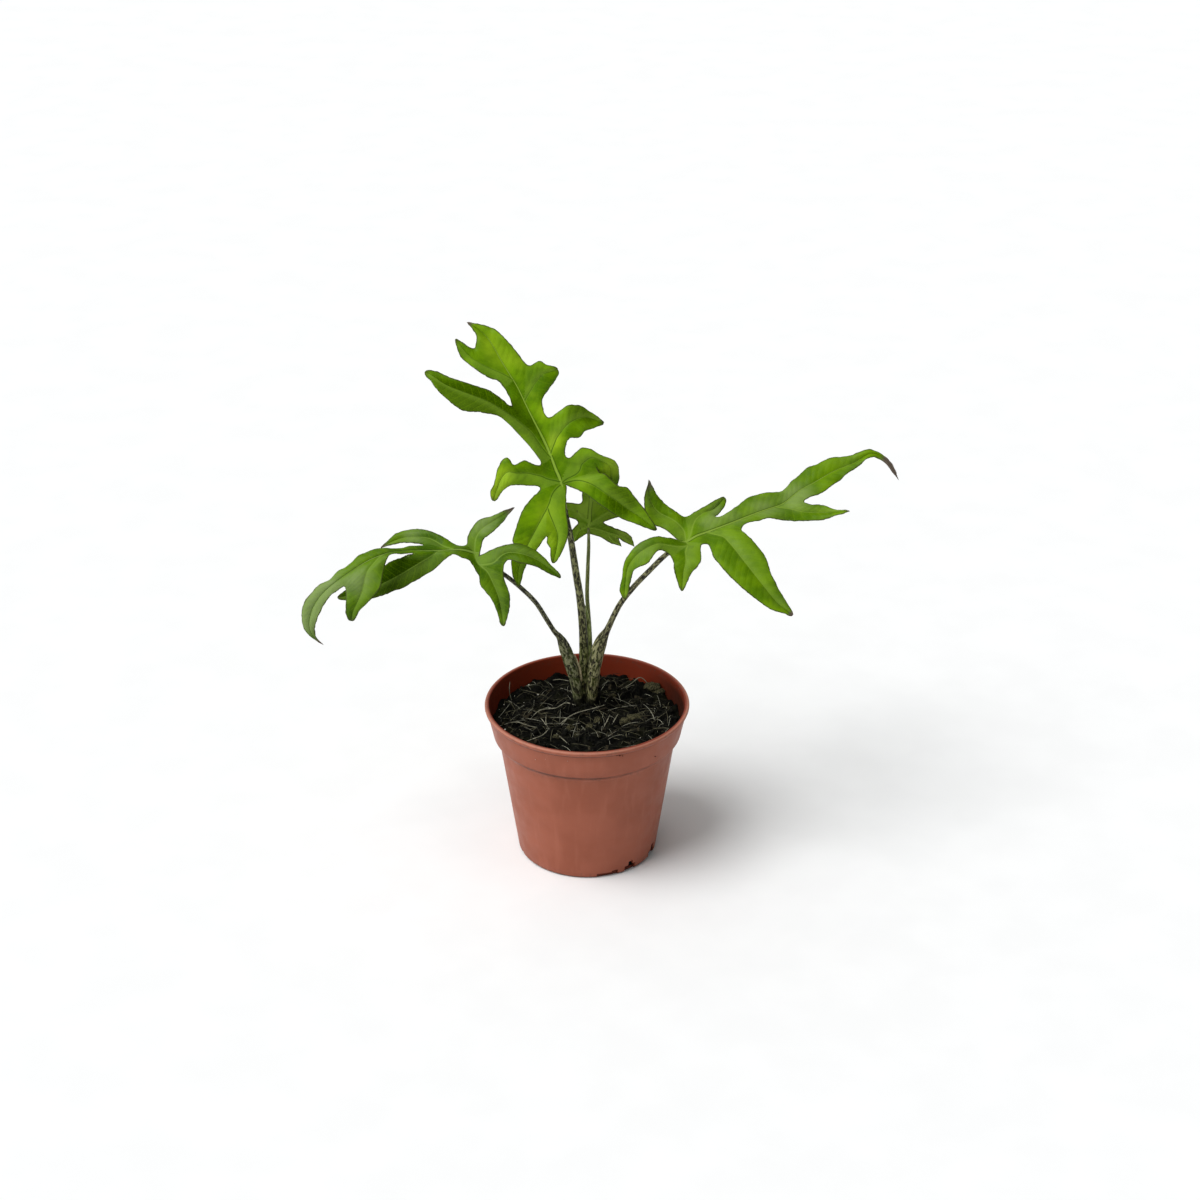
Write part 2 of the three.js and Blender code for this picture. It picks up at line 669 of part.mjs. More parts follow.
function bladeGeometry(leaf, cells) {
  const sheet = bladeSheet(leaf, cells);
  const normals = sheetNormals(sheet);
  const count = sheet.points.length;
  const half = BLADE_THICKNESS / 2;
  const middle = sheet.points.map((p, i) => {
    return p.clone().addScaledVector(normals[i], waveHeight(leaf, p, sheet.margins[i]));
  });
  const upper = middle.map((p, i) => p.clone().addScaledVector(normals[i], half));
  const lower = middle.map((p, i) => {
    const depth = half + ribDepth(leaf, sheet.points[i], sheet.margins[i]);
    return p.clone().addScaledVector(normals[i], -depth);
  });
  const triangles = [];
  const directed = new Set(sheet.triangles.flatMap(([a, b, c]) => [`${a},${b}`, `${b},${c}`, `${c},${a}`]));
  for (const [a, b, c] of sheet.triangles) {
    triangles.push(a, b, c, a + count, c + count, b + count);
    for (const [from, to] of [[a, b], [b, c], [c, a]]) {
      if (directed.has(`${to},${from}`)) continue;
      triangles.push(to, from, from + count, to, from + count, to + count);
    }
  }
  return geometryOf([...upper, ...lower].flatMap((p) => p.toArray()), triangles);
}

// Stalks: round sections along a smooth centre line
function stalkGeometry(rows, extra = 0) {
  const centres = rows.map(([x, y, z]) => new THREE.Vector3(x, y, z));
  const line = new THREE.CatmullRomCurve3(centres, false, "centripetal");
  const rings = (rows.length - 1) * STALK_STEPS;
  const positions = [];
  const triangles = [];
  for (let ring = 0; ring <= rings; ring++) {
    const place = ring / STALK_STEPS;
    const row = Math.min(Math.floor(place), rows.length - 2);
    const radius = THREE.MathUtils.lerp(rows[row][3], rows[row + 1][3], place - row) + extra;
    const centre = line.getPoint(ring / rings);
    const along = line.getTangent(ring / rings);
    const side = new THREE.Vector3(0, 1, 0).cross(along).normalize();
    const front = along.clone().cross(side);
    for (let k = 0; k < STALK_SIDES; k++) {
      const angle = (k / STALK_SIDES) * 2 * Math.PI;
      const point = centre.clone()
        .addScaledVector(side, radius * Math.cos(angle))
        .addScaledVector(front, radius * Math.sin(angle));
      positions.push(...point.toArray());
    }
  }
  for (let ring = 0; ring < rings; ring++) {
    for (let k = 0; k < STALK_SIDES; k++) {
      const next = (k + 1) % STALK_SIDES;
      const [a, b] = [ring * STALK_SIDES + k, ring * STALK_SIDES + next];
      triangles.push(a, b, b + STALK_SIDES, a, b + STALK_SIDES, a + STALK_SIDES);
    }
  }
  const top = rings * STALK_SIDES;
  for (let k = 1; k < STALK_SIDES - 1; k++) {
    triangles.push(0, k + 1, k);
    triangles.push(top, top + k, top + k + 1);
  }
  return geometryOf(positions, triangles);
}

// Pot

const POT_OUTSIDE = [
  [BASE_RADIUS, 0],
  [SHOULDER_RADIUS, SHOULDER_HEIGHT],
  [SHOULDER_RADIUS + 0.8, SHOULDER_HEIGHT + 2],
  [COLLAR_BOTTOM_RADIUS, SHOULDER_HEIGHT + 4.5],
  [COLLAR_TOP_RADIUS, POT_HEIGHT - 3.5],
  [RIM_RADIUS - 0.6, POT_HEIGHT - 2.5],
  [RIM_RADIUS, POT_HEIGHT - 1],
  [RIM_RADIUS - 0.4, POT_HEIGHT],
];
const POT_INSIDE = [
  [COLLAR_TOP_RADIUS - POT_WALL + 0.3, POT_HEIGHT],
  [COLLAR_BOTTOM_RADIUS - POT_WALL, SHOULDER_HEIGHT + 5.2],
  [SHOULDER_RADIUS - POT_WALL + 0.7, SHOULDER_HEIGHT + 2.6],
  [SHOULDER_RADIUS - POT_WALL, SHOULDER_HEIGHT + 0.4],
  [BASE_RADIUS - POT_WALL, POT_FLOOR],
];

function lathe(profile) {
  const points = profile.map(([radius, z]) => new THREE.Vector2(radius, z));
  return new THREE.LatheGeometry(points, POT_SEGMENTS).rotateX(Math.PI / 2);
}

function notchGeometry([angle, width, height]) {
  const depth = 9;
  const turn = THREE.MathUtils.degToRad(angle);
  const radius = BASE_RADIUS + 1;
  return new THREE.BoxGeometry(width, depth, 2 * height)
    .rotateZ(turn)
    .translate(radius * Math.sin(turn), -radius * Math.cos(turn), 0);
}

function potGeometry() {
  const notches = FOOT_NOTCHES.map((notch) => toSolid(notchGeometry(notch)));
  const body = toSolid(lathe([[0, 0], ...POT_OUTSIDE, ...POT_INSIDE, [0, POT_FLOOR]]));
  return toGeometry(notches.reduce((pot, notch) => pot.subtract(notch), body));
}

// Soil

function soilHeight(x, y) {
  const [dx, dy] = [x - STEM_SPOT[0], y - STEM_SPOT[1]];
  const mound = SOIL_MOUND * Math.exp(-(dx * dx + dy * dy) / 350);
  const lumps = Math.sin(0.31 * x + 1.2) * Math.sin(0.27 * y + 0.4) + 0.6 * Math.sin(0.63 * x - 0.5 * y);
  return SOIL_LEVEL + mound + SOIL_ROUGHNESS * lumps;
}

// The soil keeps clear of the pot's floor and wall
const SOIL_SIDE = [
  [0, POT_FLOOR + GAP],
  [BASE_RADIUS - POT_WALL - 0.5, POT_FLOOR + GAP],
  [SHOULDER_RADIUS - POT_WALL - 0.5, SHOULDER_HEIGHT + 0.4],
  [SHOULDER_RADIUS - POT_WALL + 0.1, SHOULDER_HEIGHT + 3],
  [COLLAR_BOTTOM_RADIUS - POT_WALL - 0.5, SHOULDER_HEIGHT + 6],
];

function soilBody() {
  const rings = 9;
  const top = Array.from({ length: rings + 1 }, (_, ring) => [SOIL_RADIUS * (1 - ring / rings), SOIL_LEVEL]);
  const geometry = lathe([...SOIL_SIDE, ...top]);
  const position = geometry.attributes.position;
  const random = randomSource(5);
  const bumps = new Map();
  for (let i = 0; i < position.count; i++) {
    if (position.getZ(i) < SOIL_LEVEL - 1) continue;
    const [x, y] = [position.getX(i), position.getY(i)];
    const key = `${x.toFixed(2)},${y.toFixed(2)}`.replaceAll("-0.00", "0.00");
    if (!bumps.has(key)) bumps.set(key, SOIL_ROUGHNESS * (random() - 0.5));
    position.setZ(i, soilHeight(x, y) + bumps.get(key));
  }
  return toSolid(geometry);
}

// A fibre lies on the surface in a shallow bend, with both ends sunk in
function fibreSolid(random) {
  const reach = SOIL_RADIUS - 8;
  const length = 12 + 24 * random();
  const heading = 2 * Math.PI * random();
  const spread = (reach - length / 2) * Math.sqrt(random());
  const place = 2 * Math.PI * random();
  const bend = 0.25 * length * (random() - 0.5);
  const rows = [-0.5, -0.2, 0.2, 0.5].map((s) => {
    const side = bend * (1 - 4 * s * s);
    const x = spread * Math.cos(place) + s * length * Math.cos(heading) - side * Math.sin(heading);
    const y = spread * Math.sin(place) + s * length * Math.sin(heading) + side * Math.cos(heading);
    const lift = Math.abs(s) > 0.4 ? -1.2 : 0.9 + random();
    return new THREE.Vector3(x, y, soilHeight(x, y) + lift);
  });
  const line = new THREE.CatmullRomCurve3(rows);
  const corners = [[0.7, 0], [-0.4, 0.6], [-0.4, -0.6]];
  const section = new THREE.Shape(corners.map(([u, v]) => new THREE.Vector2(u, v)));
  return toSolid(new THREE.ExtrudeGeometry(section, { steps: 4, extrudePath: line, bevelEnabled: false }));
}

function lumpSolid(random) {
  const size = 2.2 + 2.2 * random();
  const angle = 2 * Math.PI * random();
  const radius = (SOIL_RADIUS - 8) * Math.sqrt(random());
  const [x, y] = [radius * Math.cos(angle), radius * Math.sin(angle)];
  const geometry = new THREE.DodecahedronGeometry(size)
    .scale(1, 0.6 + 0.5 * random(), 0.6)
    .rotateZ(Math.PI * random())
    .translate(x, y, soilHeight(x, y) + 0.2 * size);
  return toSolid(geometry);
}

// A hole clears its stalk all round and below
function stalkHole([[x, y, z, radius], ...rest]) {
  return toSolid(stalkGeometry([[x, y, z - GAP, radius], ...rest], GAP));
}

function soilGeometry() {
  const random = randomSource(11);
  let soil = soilBody();
  for (let i = 0; i < FIBRE_COUNT; i++) soil = soil.add(fibreSolid(random));
  for (let i = 0; i < LUMP_COUNT; i++) soil = soil.add(lumpSolid(random));
  for (const rows of Object.values(STALKS)) soil = soil.subtract(stalkHole(rows));
  return toGeometry(soil);
}

// The plant in its pot

function material(colour, roughness) {
  return new THREE.MeshStandardMaterial({ color: colour, roughness, metalness: 0 });
}

function addMesh(group, name, geometry, finish) {
  const mesh = new THREE.Mesh(geometry, finish);
  mesh.name = name;
  group.add(mesh);
}

const plant = new THREE.Group();
addMesh(plant, "pot", potGeometry(), material(COLOURS.pot, 0.5));
addMesh(plant, "soil", soilGeometry(), material(COLOURS.soil, 0.95));
for (const name of Object.keys(LEAVES)) {
  addMesh(plant, `petiole_${name}`, stalkGeometry(STALKS[name]), material(COLOURS.stalk, 0.6));
  addMesh(plant, `blade_${name}`, bladeGeometry(LEAVES[name], CELLS[name]), material(COLOURS[name], 0.45));
}

export default plant;
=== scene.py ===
"""The looks of a potted alocasia brancifolia: veined leaves, mottled stalks, fibrous soil and a nursery pot.

Shapes are written in millimetres in the part's own frame (+Z up, front towards -Y) and turned into metres
when a mesh is made.
"""

import math
import random

import bmesh
import bpy
import numpy as np
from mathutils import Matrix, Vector, noise
from mathutils.kdtree import KDTree


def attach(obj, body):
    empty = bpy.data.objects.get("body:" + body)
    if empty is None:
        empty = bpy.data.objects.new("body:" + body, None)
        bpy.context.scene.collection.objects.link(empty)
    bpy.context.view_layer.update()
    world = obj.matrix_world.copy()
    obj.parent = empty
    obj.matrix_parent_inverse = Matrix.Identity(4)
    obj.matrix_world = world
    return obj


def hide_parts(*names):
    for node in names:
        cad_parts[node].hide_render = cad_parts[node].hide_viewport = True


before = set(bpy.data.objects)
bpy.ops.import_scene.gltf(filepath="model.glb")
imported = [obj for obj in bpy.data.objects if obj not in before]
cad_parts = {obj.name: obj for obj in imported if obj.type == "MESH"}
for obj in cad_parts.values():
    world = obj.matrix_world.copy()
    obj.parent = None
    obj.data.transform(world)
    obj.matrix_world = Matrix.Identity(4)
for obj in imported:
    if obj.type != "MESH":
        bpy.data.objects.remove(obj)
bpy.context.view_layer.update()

# Camera, as the photo was taken
CAMERA_TILT = 27.3
CAMERA_DISTANCE = 1435
CAMERA_TARGET = (7.6, 0, 163.4)
CAMERA_LENS = 75
SENSOR_WIDTH = 36

# Light: the room's strength from the left and from the right, and one wide lamp
ROOM_LIGHT = (0.82, 0.1)
LAMP_DIRECTION = (0.52, 0.27, -1)
LAMP_STRENGTH = 2.35
LAMP_WIDTH = 38

# Floor
FLOOR_REACH = 40000
FLOOR_TONES = [(0.892, 0.9, 0.901, 1), (0.912, 0.92, 0.921, 1)]

# Pot
POT_HEIGHT = 96.5
RIM_RADIUS = 60
BASE_RADIUS = 41
SHOULDER_RADIUS = 51.6
SHOULDER_HEIGHT = 73
COLLAR_BOTTOM_RADIUS = 55
COLLAR_TOP_RADIUS = 58.3
POT_WALL = 1.2
POT_FLOOR = 1.6
POT_SEGMENTS = 240
POT_ROUNDING = 0.5
POT_STEP = 4
NOTCH_DEPTH = 6.6
# Drainage notches round the foot: angle from the front towards the right, width, height
FOOT_NOTCHES = [
    (16.5, 12, 3), (23.5, 4, 3.8), (34.5, 3.2, 4.2), (38, 3.2, 7), (41.5, 2.4, 4.6), (63.5, 3, 5),
    (67.5, 4, 8.4), (71.5, 2.6, 4.6), (-69, 3.4, 2.4), (196, 10, 2.6), (218, 3.4, 4.4), (247, 3.4, 4),
]

# Soil
SOIL_LEVEL = 85
SOIL_RADIUS = 54.3
SOIL_MOUND = 4.5
SOIL_ROUGHNESS = 1.3
SOIL_RINGS = 110
SOIL_SPOKES = 330
SOIL_SIDE = [(53.6, 79.5), (49.9, 73.4), (39.3, 2.1)]
STEM_SPOT = (-1, 15)
STEM_CLEARANCE = 7.5
HOLLOW_SPOT = (-2, 5)
HOLLOW_DEPTH = 2.4

# Leaves
BLADE_THICKNESS = 0.5
MARGIN_THICKNESS = 0.32
LEAF_LENGTH = 110
BULGE = 0.4
WAVE = 0.5
VEIN_SPACING = 4.6
VEIN_SWEEP = 0.85
RIB_SWEEP = 0.9
FOLD = 0.9
RIDGE = 0.75
MIDRIB_WIDTH = 1.7
SIDE_RIB_WIDTH = 0.8
THINNEST_RIB = 0.16
RIB_STEP = 0.3
RIB_SMOOTHING = 60
SURFACE_SMOOTHING = 24
FAR_FROM_RIB = 9.0
QUILTING = 0.2
RUFFLE = 0.5
GROOVE = 0.22
CELLS = {"tall": 14, "left": 14, "right": 14, "back": 12}

# Stalks: centre line from below the soil to the leaf, each point with its radius
STALKS = {
    "tall": [
        (-1.4, 16, 78, 2.8), (-1.6, 16.3, 91, 3.1), (-2, 16.3, 104, 3.1), (-2, 15.6, 118, 2.8),
        (-2.2, 14.6, 132, 2.5), (-2.9, 13.4, 146, 2.3), (-4.2, 12.5, 160.5, 2.2), (-6, 11.9, 173.5, 2.1),
        (-9, 11, 196.5, 1.8), (-11.8, 10.5, 212.5, 1.5), (-13.2, 10.2, 222, 1.4), (-14.2, 9.0, 231.6, 1.2),
    ],
    "left": [
        (-4.4, 12.6, 78, 2.3), (-5.4, 12.1, 91, 3.1), (-7, 11.4, 105, 3.8), (-10.1, 9.4, 118, 3.7),
        (-12.7, 7.9, 127, 3.2), (-14.4, 7, 132.5, 2.7), (-16.1, 6.1, 136.5, 1.9), (-18.8, 4.7, 140.5, 1.45),
        (-23.4, 2.5, 150, 1.4), (-29.4, -1, 162.5, 1.35), (-38.7, -5, 175, 1.3), (-47, -8, 184, 1.25),
        (-54.5, -10.4, 191, 1.2), (-61.4, -11.9, 197.6, 1.0),
    ],
    "right": [
        (1.8, 12.2, 78, 2.3), (2.5, 11.9, 91, 3.2), (3.4, 11.6, 105, 4), (5, 11.6, 118, 4),
        (7.4, 11.6, 128, 3.6), (9.3, 11.6, 133, 3), (11.3, 11.4, 137, 2.1), (13, 11.2, 141, 1.8),
        (15.6, 11, 147.5, 1.7), (19.6, 10.6, 156, 1.65), (27.4, 10, 167.3, 1.6), (35.4, 9.2, 177, 1.55),
        (46.2, 8.4, 189, 1.4), (54.2, 8.1, 195.2, 1.0),
    ],
    "back": [
        (1.7, 21, 80, 1.9), (1.7, 21, 92, 2), (1.7, 21, 112.5, 1.9), (1.2, 21, 127.5, 1.7),
        (0.8, 21, 138, 1.6), (0.6, 21, 146, 1.25), (0.1, 21, 155, 1.2), (0.6, 21, 174, 1.1),
        (1.1, 20.9, 188, 1), (1.1, 22.1, 197.6, 0.9),
    ],
}

# Sheath flaps at the stem: their two faces beside the centre line, and points across
FLAP_OUTSIDE = 0.25
FLAP_INSIDE = -0.1
FLAP_POINTS = 9
# Centre line with radii, the way they face, how far they wrap, whether they are dry
FLAPS = {
    "sheath_middle": ([
        (0.9, 17.5, 106, 1.9), (1.1, 17.6, 118, 1.8), (0.9, 17.4, 132, 1.6), (0, 16.9, 143, 1.25),
        (-1.0, 16.3, 149, 0.8), (-1.7, 16, 153.3, 0.4),
    ], -70, 170, False),
    "sheath_dry_left": ([
        (-3.2, 9.6, 105, 0.45), (-4.3, 9.7, 113.5, 0.5), (-5.7, 9.6, 118, 0.45), (-7.2, 9.3, 124, 0.3),
    ], -90, 130, True),
}

# Long fibres on the soil: places with their height over the ground, and a radius
PLACED_FIBRES = [
    ([
        (-51.5, -9.2, 1), (-41.6, -7, 1.6), (-32.1, -11, 1.5), (-22.2, -12, 1.5), (-15.6, -23.2, 1.2),
        (-10.3, -32.2, 0.3),
    ], 0.3),
    ([(-22.2, -12, 1.4), (-26.4, -4.5, 1.3), (-27.8, 3.5, 0.2)], 0.26),
    ([(-22.2, -12, 1.4), (-24, -8.2, 1.2), (-24.2, 0.8, 2.2)], 0.22),
    ([(-35.9, -3.8, 0.3), (-27.9, 7, 1.5), (-18.4, 6.5, 1.6), (-12.6, 12.2, 1.8), (-6.5, 8.5, 2.6)], 0.32),
    ([(-46, 25.5, 11.5), (-46.4, 25, 7), (-46, 24.6, 3), (-45.2, 23.6, 0)], 0.24),
    ([(19.7, 34, 0.4), (25.8, 38, 2.6), (31.9, 39.5, 3.2), (37.8, 37, 2), (40.6, 32.2, 0.2)], 0.26),
    ([(-17.9, -11.5, 0.4), (-8.2, -3.5, 1.5), (4.7, 3.5, 1.6), (11, 8.8, 0.6)], 0.3),
    ([(9.5, -14.5, 0), (11.7, -8.5, 2.6), (13.5, -3.8, 4)], 0.24),
    ([(14.6, -9.5, 0.2), (17, -4.2, 2.4), (18.2, -0.8, 3.2)], 0.26),
    ([(-22, -14.5, 1), (-25.5, -20.2, 1.3), (-29.9, -25.2, 1), (-34.7, -26.2, 0.3)], 0.28),
    ([(-15.8, -12.2, 0.3), (-13.5, -9, 1.8), (-11.1, -6.2, 2.4)], 0.24),
    ([(-20.9, 44, 2), (-16.7, 45, 3), (-10, 42, 1.5)], 0.22),
]
# Random litter: dark and light colour, count and radius of fibres, and the counts of the rest
FIBRES = {
    "fibre_dark": ((36, 36, 30), (60, 58, 47), 340, 0.13),
    "fibre_brown": ((74, 72, 56), (110, 106, 84), 190, 0.13),
    "fibre_pale": ((124, 124, 110), (166, 164, 146), 100, 0.12),
}
CRUMBS = 420
STEM_CRUMBS = 64
CHIPS = 46
# White specks and olive lumps on the soil: place and size
PERLITE = [
    (-52, 11.8, 0.5), (-49.4, 14.8, 0.6), (-51.8, 2.8, 0.55), (-29.6, 31, 0.8), (-37.7, 20, 0.45),
    (-35.2, 38.8, 0.8), (-47.8, -15.2, 0.9), (31, -22, 0.5), (-12, -40, 0.45), (40, 8, 0.4),
]
OLIVE_LUMPS = [
    (-9.9, -13.5, 2.6), (-5.8, -17.2, 2.2), (1.7, -7.8, 2.4), (6.4, -6.2, 2.8), (27.6, 0.5, 4.2),
    (39, 33.2, 4.6), (43, 29.5, 3.4), (14.8, 22.5, 3.2), (-17.4, -21.8, 2.4), (22, -4, 3.4),
]
# Specks stuck to the collar: angle from the front towards the right, height, size, whether they are pale
COLLAR_SPECKS = [
    (18.8, 92.4, 0.55, False), (20.6, 91.8, 0.4, False), (17.2, 92.8, 0.35, False), (44.4, 83, 0.4, False),
    (-31, 86, 0.3, True), (-10.8, 89.7, 0.3, True), (-24, 88.5, 0.2, True),
]


def lobe(side, at, face, tip, rows, lobes=()):
    """A lobe leaves its parent's margin at a row. Its rows are three points, or a rib point and two widths.

    A fourth number rounds its tip off.
    """
    return {"side": side, "at": at, "face": face, "tip": tip, "rows": rows, "lobes": lobes}


# Blades, in millimetres from the joint. The main strip's rows give the left margin, the rib and the right
# margin, from the notch behind the stalk to the tip, seen from above with the tip ahead.

TALL_LEAF = {
    "joint": (-14.5, 8, 233),
    "sinus": (3, 0, -0.5),
    "rows": [
        ((-5, -3.5, -5), (0, 0, 0), (9.5, -0.5, 2.5)),
        ((-11.5, -2.5, -1.5), (-1.5, 1, 3.5), (22, 1.5, 6)),
        ((-11, 0, 5), (-3.5, 3, 8), (11, 1.5, 11)),
        ((-11, 1.5, 11.5), (-5, 4.5, 13), (3.5, 2.5, 15)),
        ((-16, 8, 29), (-9, 8, 21.5), (-2.5, 6.5, 25.5)),
        ((-27, 12, 42), (-15, 11, 33.5), (-7, 10.5, 36)),
        ((-29.5, 14, 49.5), (-20, 14, 43), (-10.5, 13.5, 45)),
        ((-34.5, 16.5, 56), (-24, 17, 51), (-14.5, 17.5, 54)),
        ((-41, 17.5, 58), (-28.5, 19.5, 58.5), (-18, 21, 63)),
        ((-48, 21, 66), (-33, 23, 65.5), (-25.5, 24.5, 71)),
        ((-48, 25, 72), (-37.5, 26.5, 72.5), (-30.5, 27.5, 76)),
        ((-47, 30, 77.5), (-42.5, 30.5, 78), (-38, 32, 81)),
    ],
    "tip": (-52.5, 35.5, 83.5),
    "lobes": [
        # Long hanging lobe, with a shorter one beside it
        lobe("left", 1, (0, -9, 3), (-24, -21.5, -54, 0.4), [
            (-6.5, -6.5, -9.5, 10, 10), (-11.5, -10, -18.5, 9.5, 11.5),
            ((-8, -12, -27), (-17.5, -14.5, -29), (-27, -14, -28.5)), (-20, -16.5, -34, 5, 7),
            (-22.5, -18, -39.5, 3.5, 5.5), (-24.5, -19.5, -46.5, 3, 3),
        ], [
            lobe("left", 2, (1, -9, 3), (-4.5, -17.5, -41, 0.7), [
                ((4, -11.5, -24.5), (-1.5, -13, -27.5), (-7.5, -13.5, -30.5)),
                (-2.5, -15.5, -33.5, 3.5, 3.5),
            ]),
        ]),
        # Left lobe with a curled end
        lobe("left", 3, (0, -9, 3), (-38, -1, -10, 0.8), [
            ((-18.5, -4, 1), (-18.5, -1.5, 7.5), (-20.5, 0.5, 14)),
            ((-25, -5.5, 2), (-25, -4, 8.5), (-26, -2, 12.5)),
            ((-28.5, -5.5, 1.5), (-30, -4, 9.5), (-30.5, 0, 16)),
            ((-31.5, -4.5, -1), (-33.5, -3.5, 5), (-35, -1.5, 10.5)),
            ((-33, -3.5, -3), (-35.5, -2.5, -0.5), (-37.5, -2.5, 0.5)),
            ((-34.5, -1.5, -6), (-37, -1.5, -5.5), (-39.5, -1, -4.5)),
        ]),
        # Long left lobe
        lobe("left", 5, (0, -9, 3), (-76, 23, 58.5, 0.8), [
            (-31, 10, 40, 4, 4), (-41, 11, 46, 7, 5.5), (-51.5, 12.5, 50, 10, 5),
            ((-67, 15.5, 48.5), (-64.5, 16.5, 53.5), (-62, 18, 57)),
            ((-73, 20.5, 54), (-71.5, 20.5, 57), (-70.5, 21.5, 59.5)),
        ]),
        # Tooth near the tip
        lobe("left", 10, (0, -9, 3), (-58.5, 28, 76, 0.35), [
            (-53, 23.5, 70, 3.5, 3.5),
        ]),
        # Long low right lobe
        lobe("right", 1, (0, -9, 3), (54, -4, -27, 0.35), [
            ((25, -0.5, 6), (18.5, -3, 0.5), (12.5, -4.5, -3)),
            ((32, -2.5, 0), (26.5, -5.5, -4.5), (20.5, -6, -8.5)),
            ((37.5, -2.5, -1.5), (32, -6.5, -8), (26.5, -7.5, -12.5)),
            ((41.5, -4, -6.5), (37.5, -7, -12.5), (33, -7.5, -17)),
            ((47.5, -4.5, -14.5), (45, -5.5, -18.5), (42, -6.5, -21.5)),
        ]),
        # Right lobe that folds over
        lobe("right", 3, (0, -9, 3), (29, 7.5, -8, 0.6), [
            ((12.5, 3.5, 20.5), (17, 0.5, 16), (20, 2, 9.5)),
            ((22, 3.5, 16.5), (23.5, 1.5, 13.5), (21.5, 3, 6.5)),
            ((31, 7, 10.5), (28, 4, 9), (23, 4.5, 3.5)), ((33, 9, 1.5), (28.5, 6.5, 1.5), (24, 5.5, 0.5)),
        ]),
        # Middle right lobe
        lobe("right", 5, (0, -9, 3), (24, 14.5, 31, 0.25), [
            ((-1, 11, 39.5), (3, 7, 32.5), (4.5, 5.5, 25.5)),
            ((4.5, 11.5, 43), (8, 9, 35.5), (10.5, 7.5, 25.5)),
            ((11, 12.5, 42), (13, 9.5, 37), (13.5, 8.5, 28.5)),
            ((17, 13.5, 38), (18.5, 12.5, 34.5), (18.5, 11.5, 29.5)),
        ]),
        # Upper right lobe
        lobe("right", 8, (0, -9, 3), (-1.5, 23, 60, 0.6), [
            ((-12, 21.5, 65.5), (-10, 18, 59.5), (-6, 16.5, 52)),
            ((-7.5, 21, 63.5), (-5.5, 19.5, 60), (-2.5, 20.5, 56)),
        ]),
    ],
}

LEFT_LEAF = {
    "joint": (-63, -12, 199.5),
    "sinus": (2.5, -2.5, -1),
    "rows": [
        ((2, -6, -4.5), (0, 0, 0), (0, 6, 2.5)),
        ((-2.5, -7, -1.5), (-6, -0.5, 2), (-5, 5, 2.5)),
        ((-7, -7, 0.5), (-10, -0.5, 2.5), (-10.5, 5, 2.5)),
        ((-12.5, -7, 2.5), (-16, -1, 2.5), (-17.5, 3, 3)),
        ((-21, -6, 3), (-24, -2, 3), (-31, 2, 3.5)),
        ((-34, -8, 3.5), (-33.5, -4, 4), (-37.5, 0, 3.5)),
        ((-47.5, -10, 2.5), (-47.5, -6, 3.5), (-49, -2, 3.5)),
        ((-60, -16, -4.5), (-58, -9, 1), (-59, -3, 3)),
        ((-72.5, -17, -12.5), (-67.5, -12, -4), (-69, -7, -2.5)),
        ((-78, -17, -16), (-78.5, -14, -11.5), (-82, -10, -12)),
        ((-83.5, -18, -22), (-86.5, -16, -19), (-91, -13, -18)),
        ((-88, -19, -31), (-92, -17, -28.5), (-97, -15, -28)),
        ((-91, -16, -42), (-93.5, -16, -41), (-96.5, -15, -40.5)),
    ],
    "tip": (-87, -10, -53.5),
    "lobes": [
        # Front hanging lobe
        lobe("left", 1, (-2, -8, 4), (16, -18, -37, 0.55), [
            (7, -9, -6.5, 6, 5.5), (10, -12, -11.5, 7, 7), (13.5, -15, -20.5, 6.5, 4),
            (15, -17, -28, 4.5, 2.5),
        ], [
            # Right arched lobe
            lobe("left", 1, (1, -5, 8), (48.5, -10, -10.5, 0.7), [
                (17, -5, 2.5, 4.5, 5), (26, -7, 3.5, 5.5, 6), (35.5, -8, 0, 4, 5),
                (42.5, -9, -5.5, 2.5, 3),
            ]),
        ]),
        # Low dark lobe
        lobe("left", 5, (-2, -6, 6), (-79, 6, -31.5, 0.7), [
            ((-25, -7, -8.5), (-31, -6, -4), (-37, -8, 2)), (-44.5, -2, -14, 7.5, 9.5),
            (-57, 2, -22.5, 6, 9), (-69, 5, -28.5, 4, 5),
        ]),
        # Front left lobe
        lobe("left", 8, (-2, -8, 4), (-69, -21.5, -32, 0.8), [
            ((-52.5, -19, -12), (-62.5, -19, -14.5), (-71.5, -18, -15.5)),
            ((-59.5, -21, -20.5), (-65.5, -21, -21.5), (-71.5, -21, -22)),
            ((-64.5, -21.5, -26), (-68, -21.5, -26.5), (-71.5, -21.5, -27.5)),
        ]),
        # Raised back lobe
        lobe("right", 1, (-2, -6, 6), (22, 23, 17.5), [
            (0.5, 10, 5, 4.5, 4.5), (4, 14, 9, 5, 6), (11, 18, 12, 3, 4.5),
        ]),
        # Back left lobe
        lobe("right", 4, (-1, -5, 8), (-54, 13, -3.5), [
            ((-29.5, 7, 2), (-25.5, 10, 4.5), (-22, 11, 6.5)), (-35.5, 13, 4, 4.5, 5),
            (-44, 14, 2, 3, 3.5),
        ]),
    ],
}

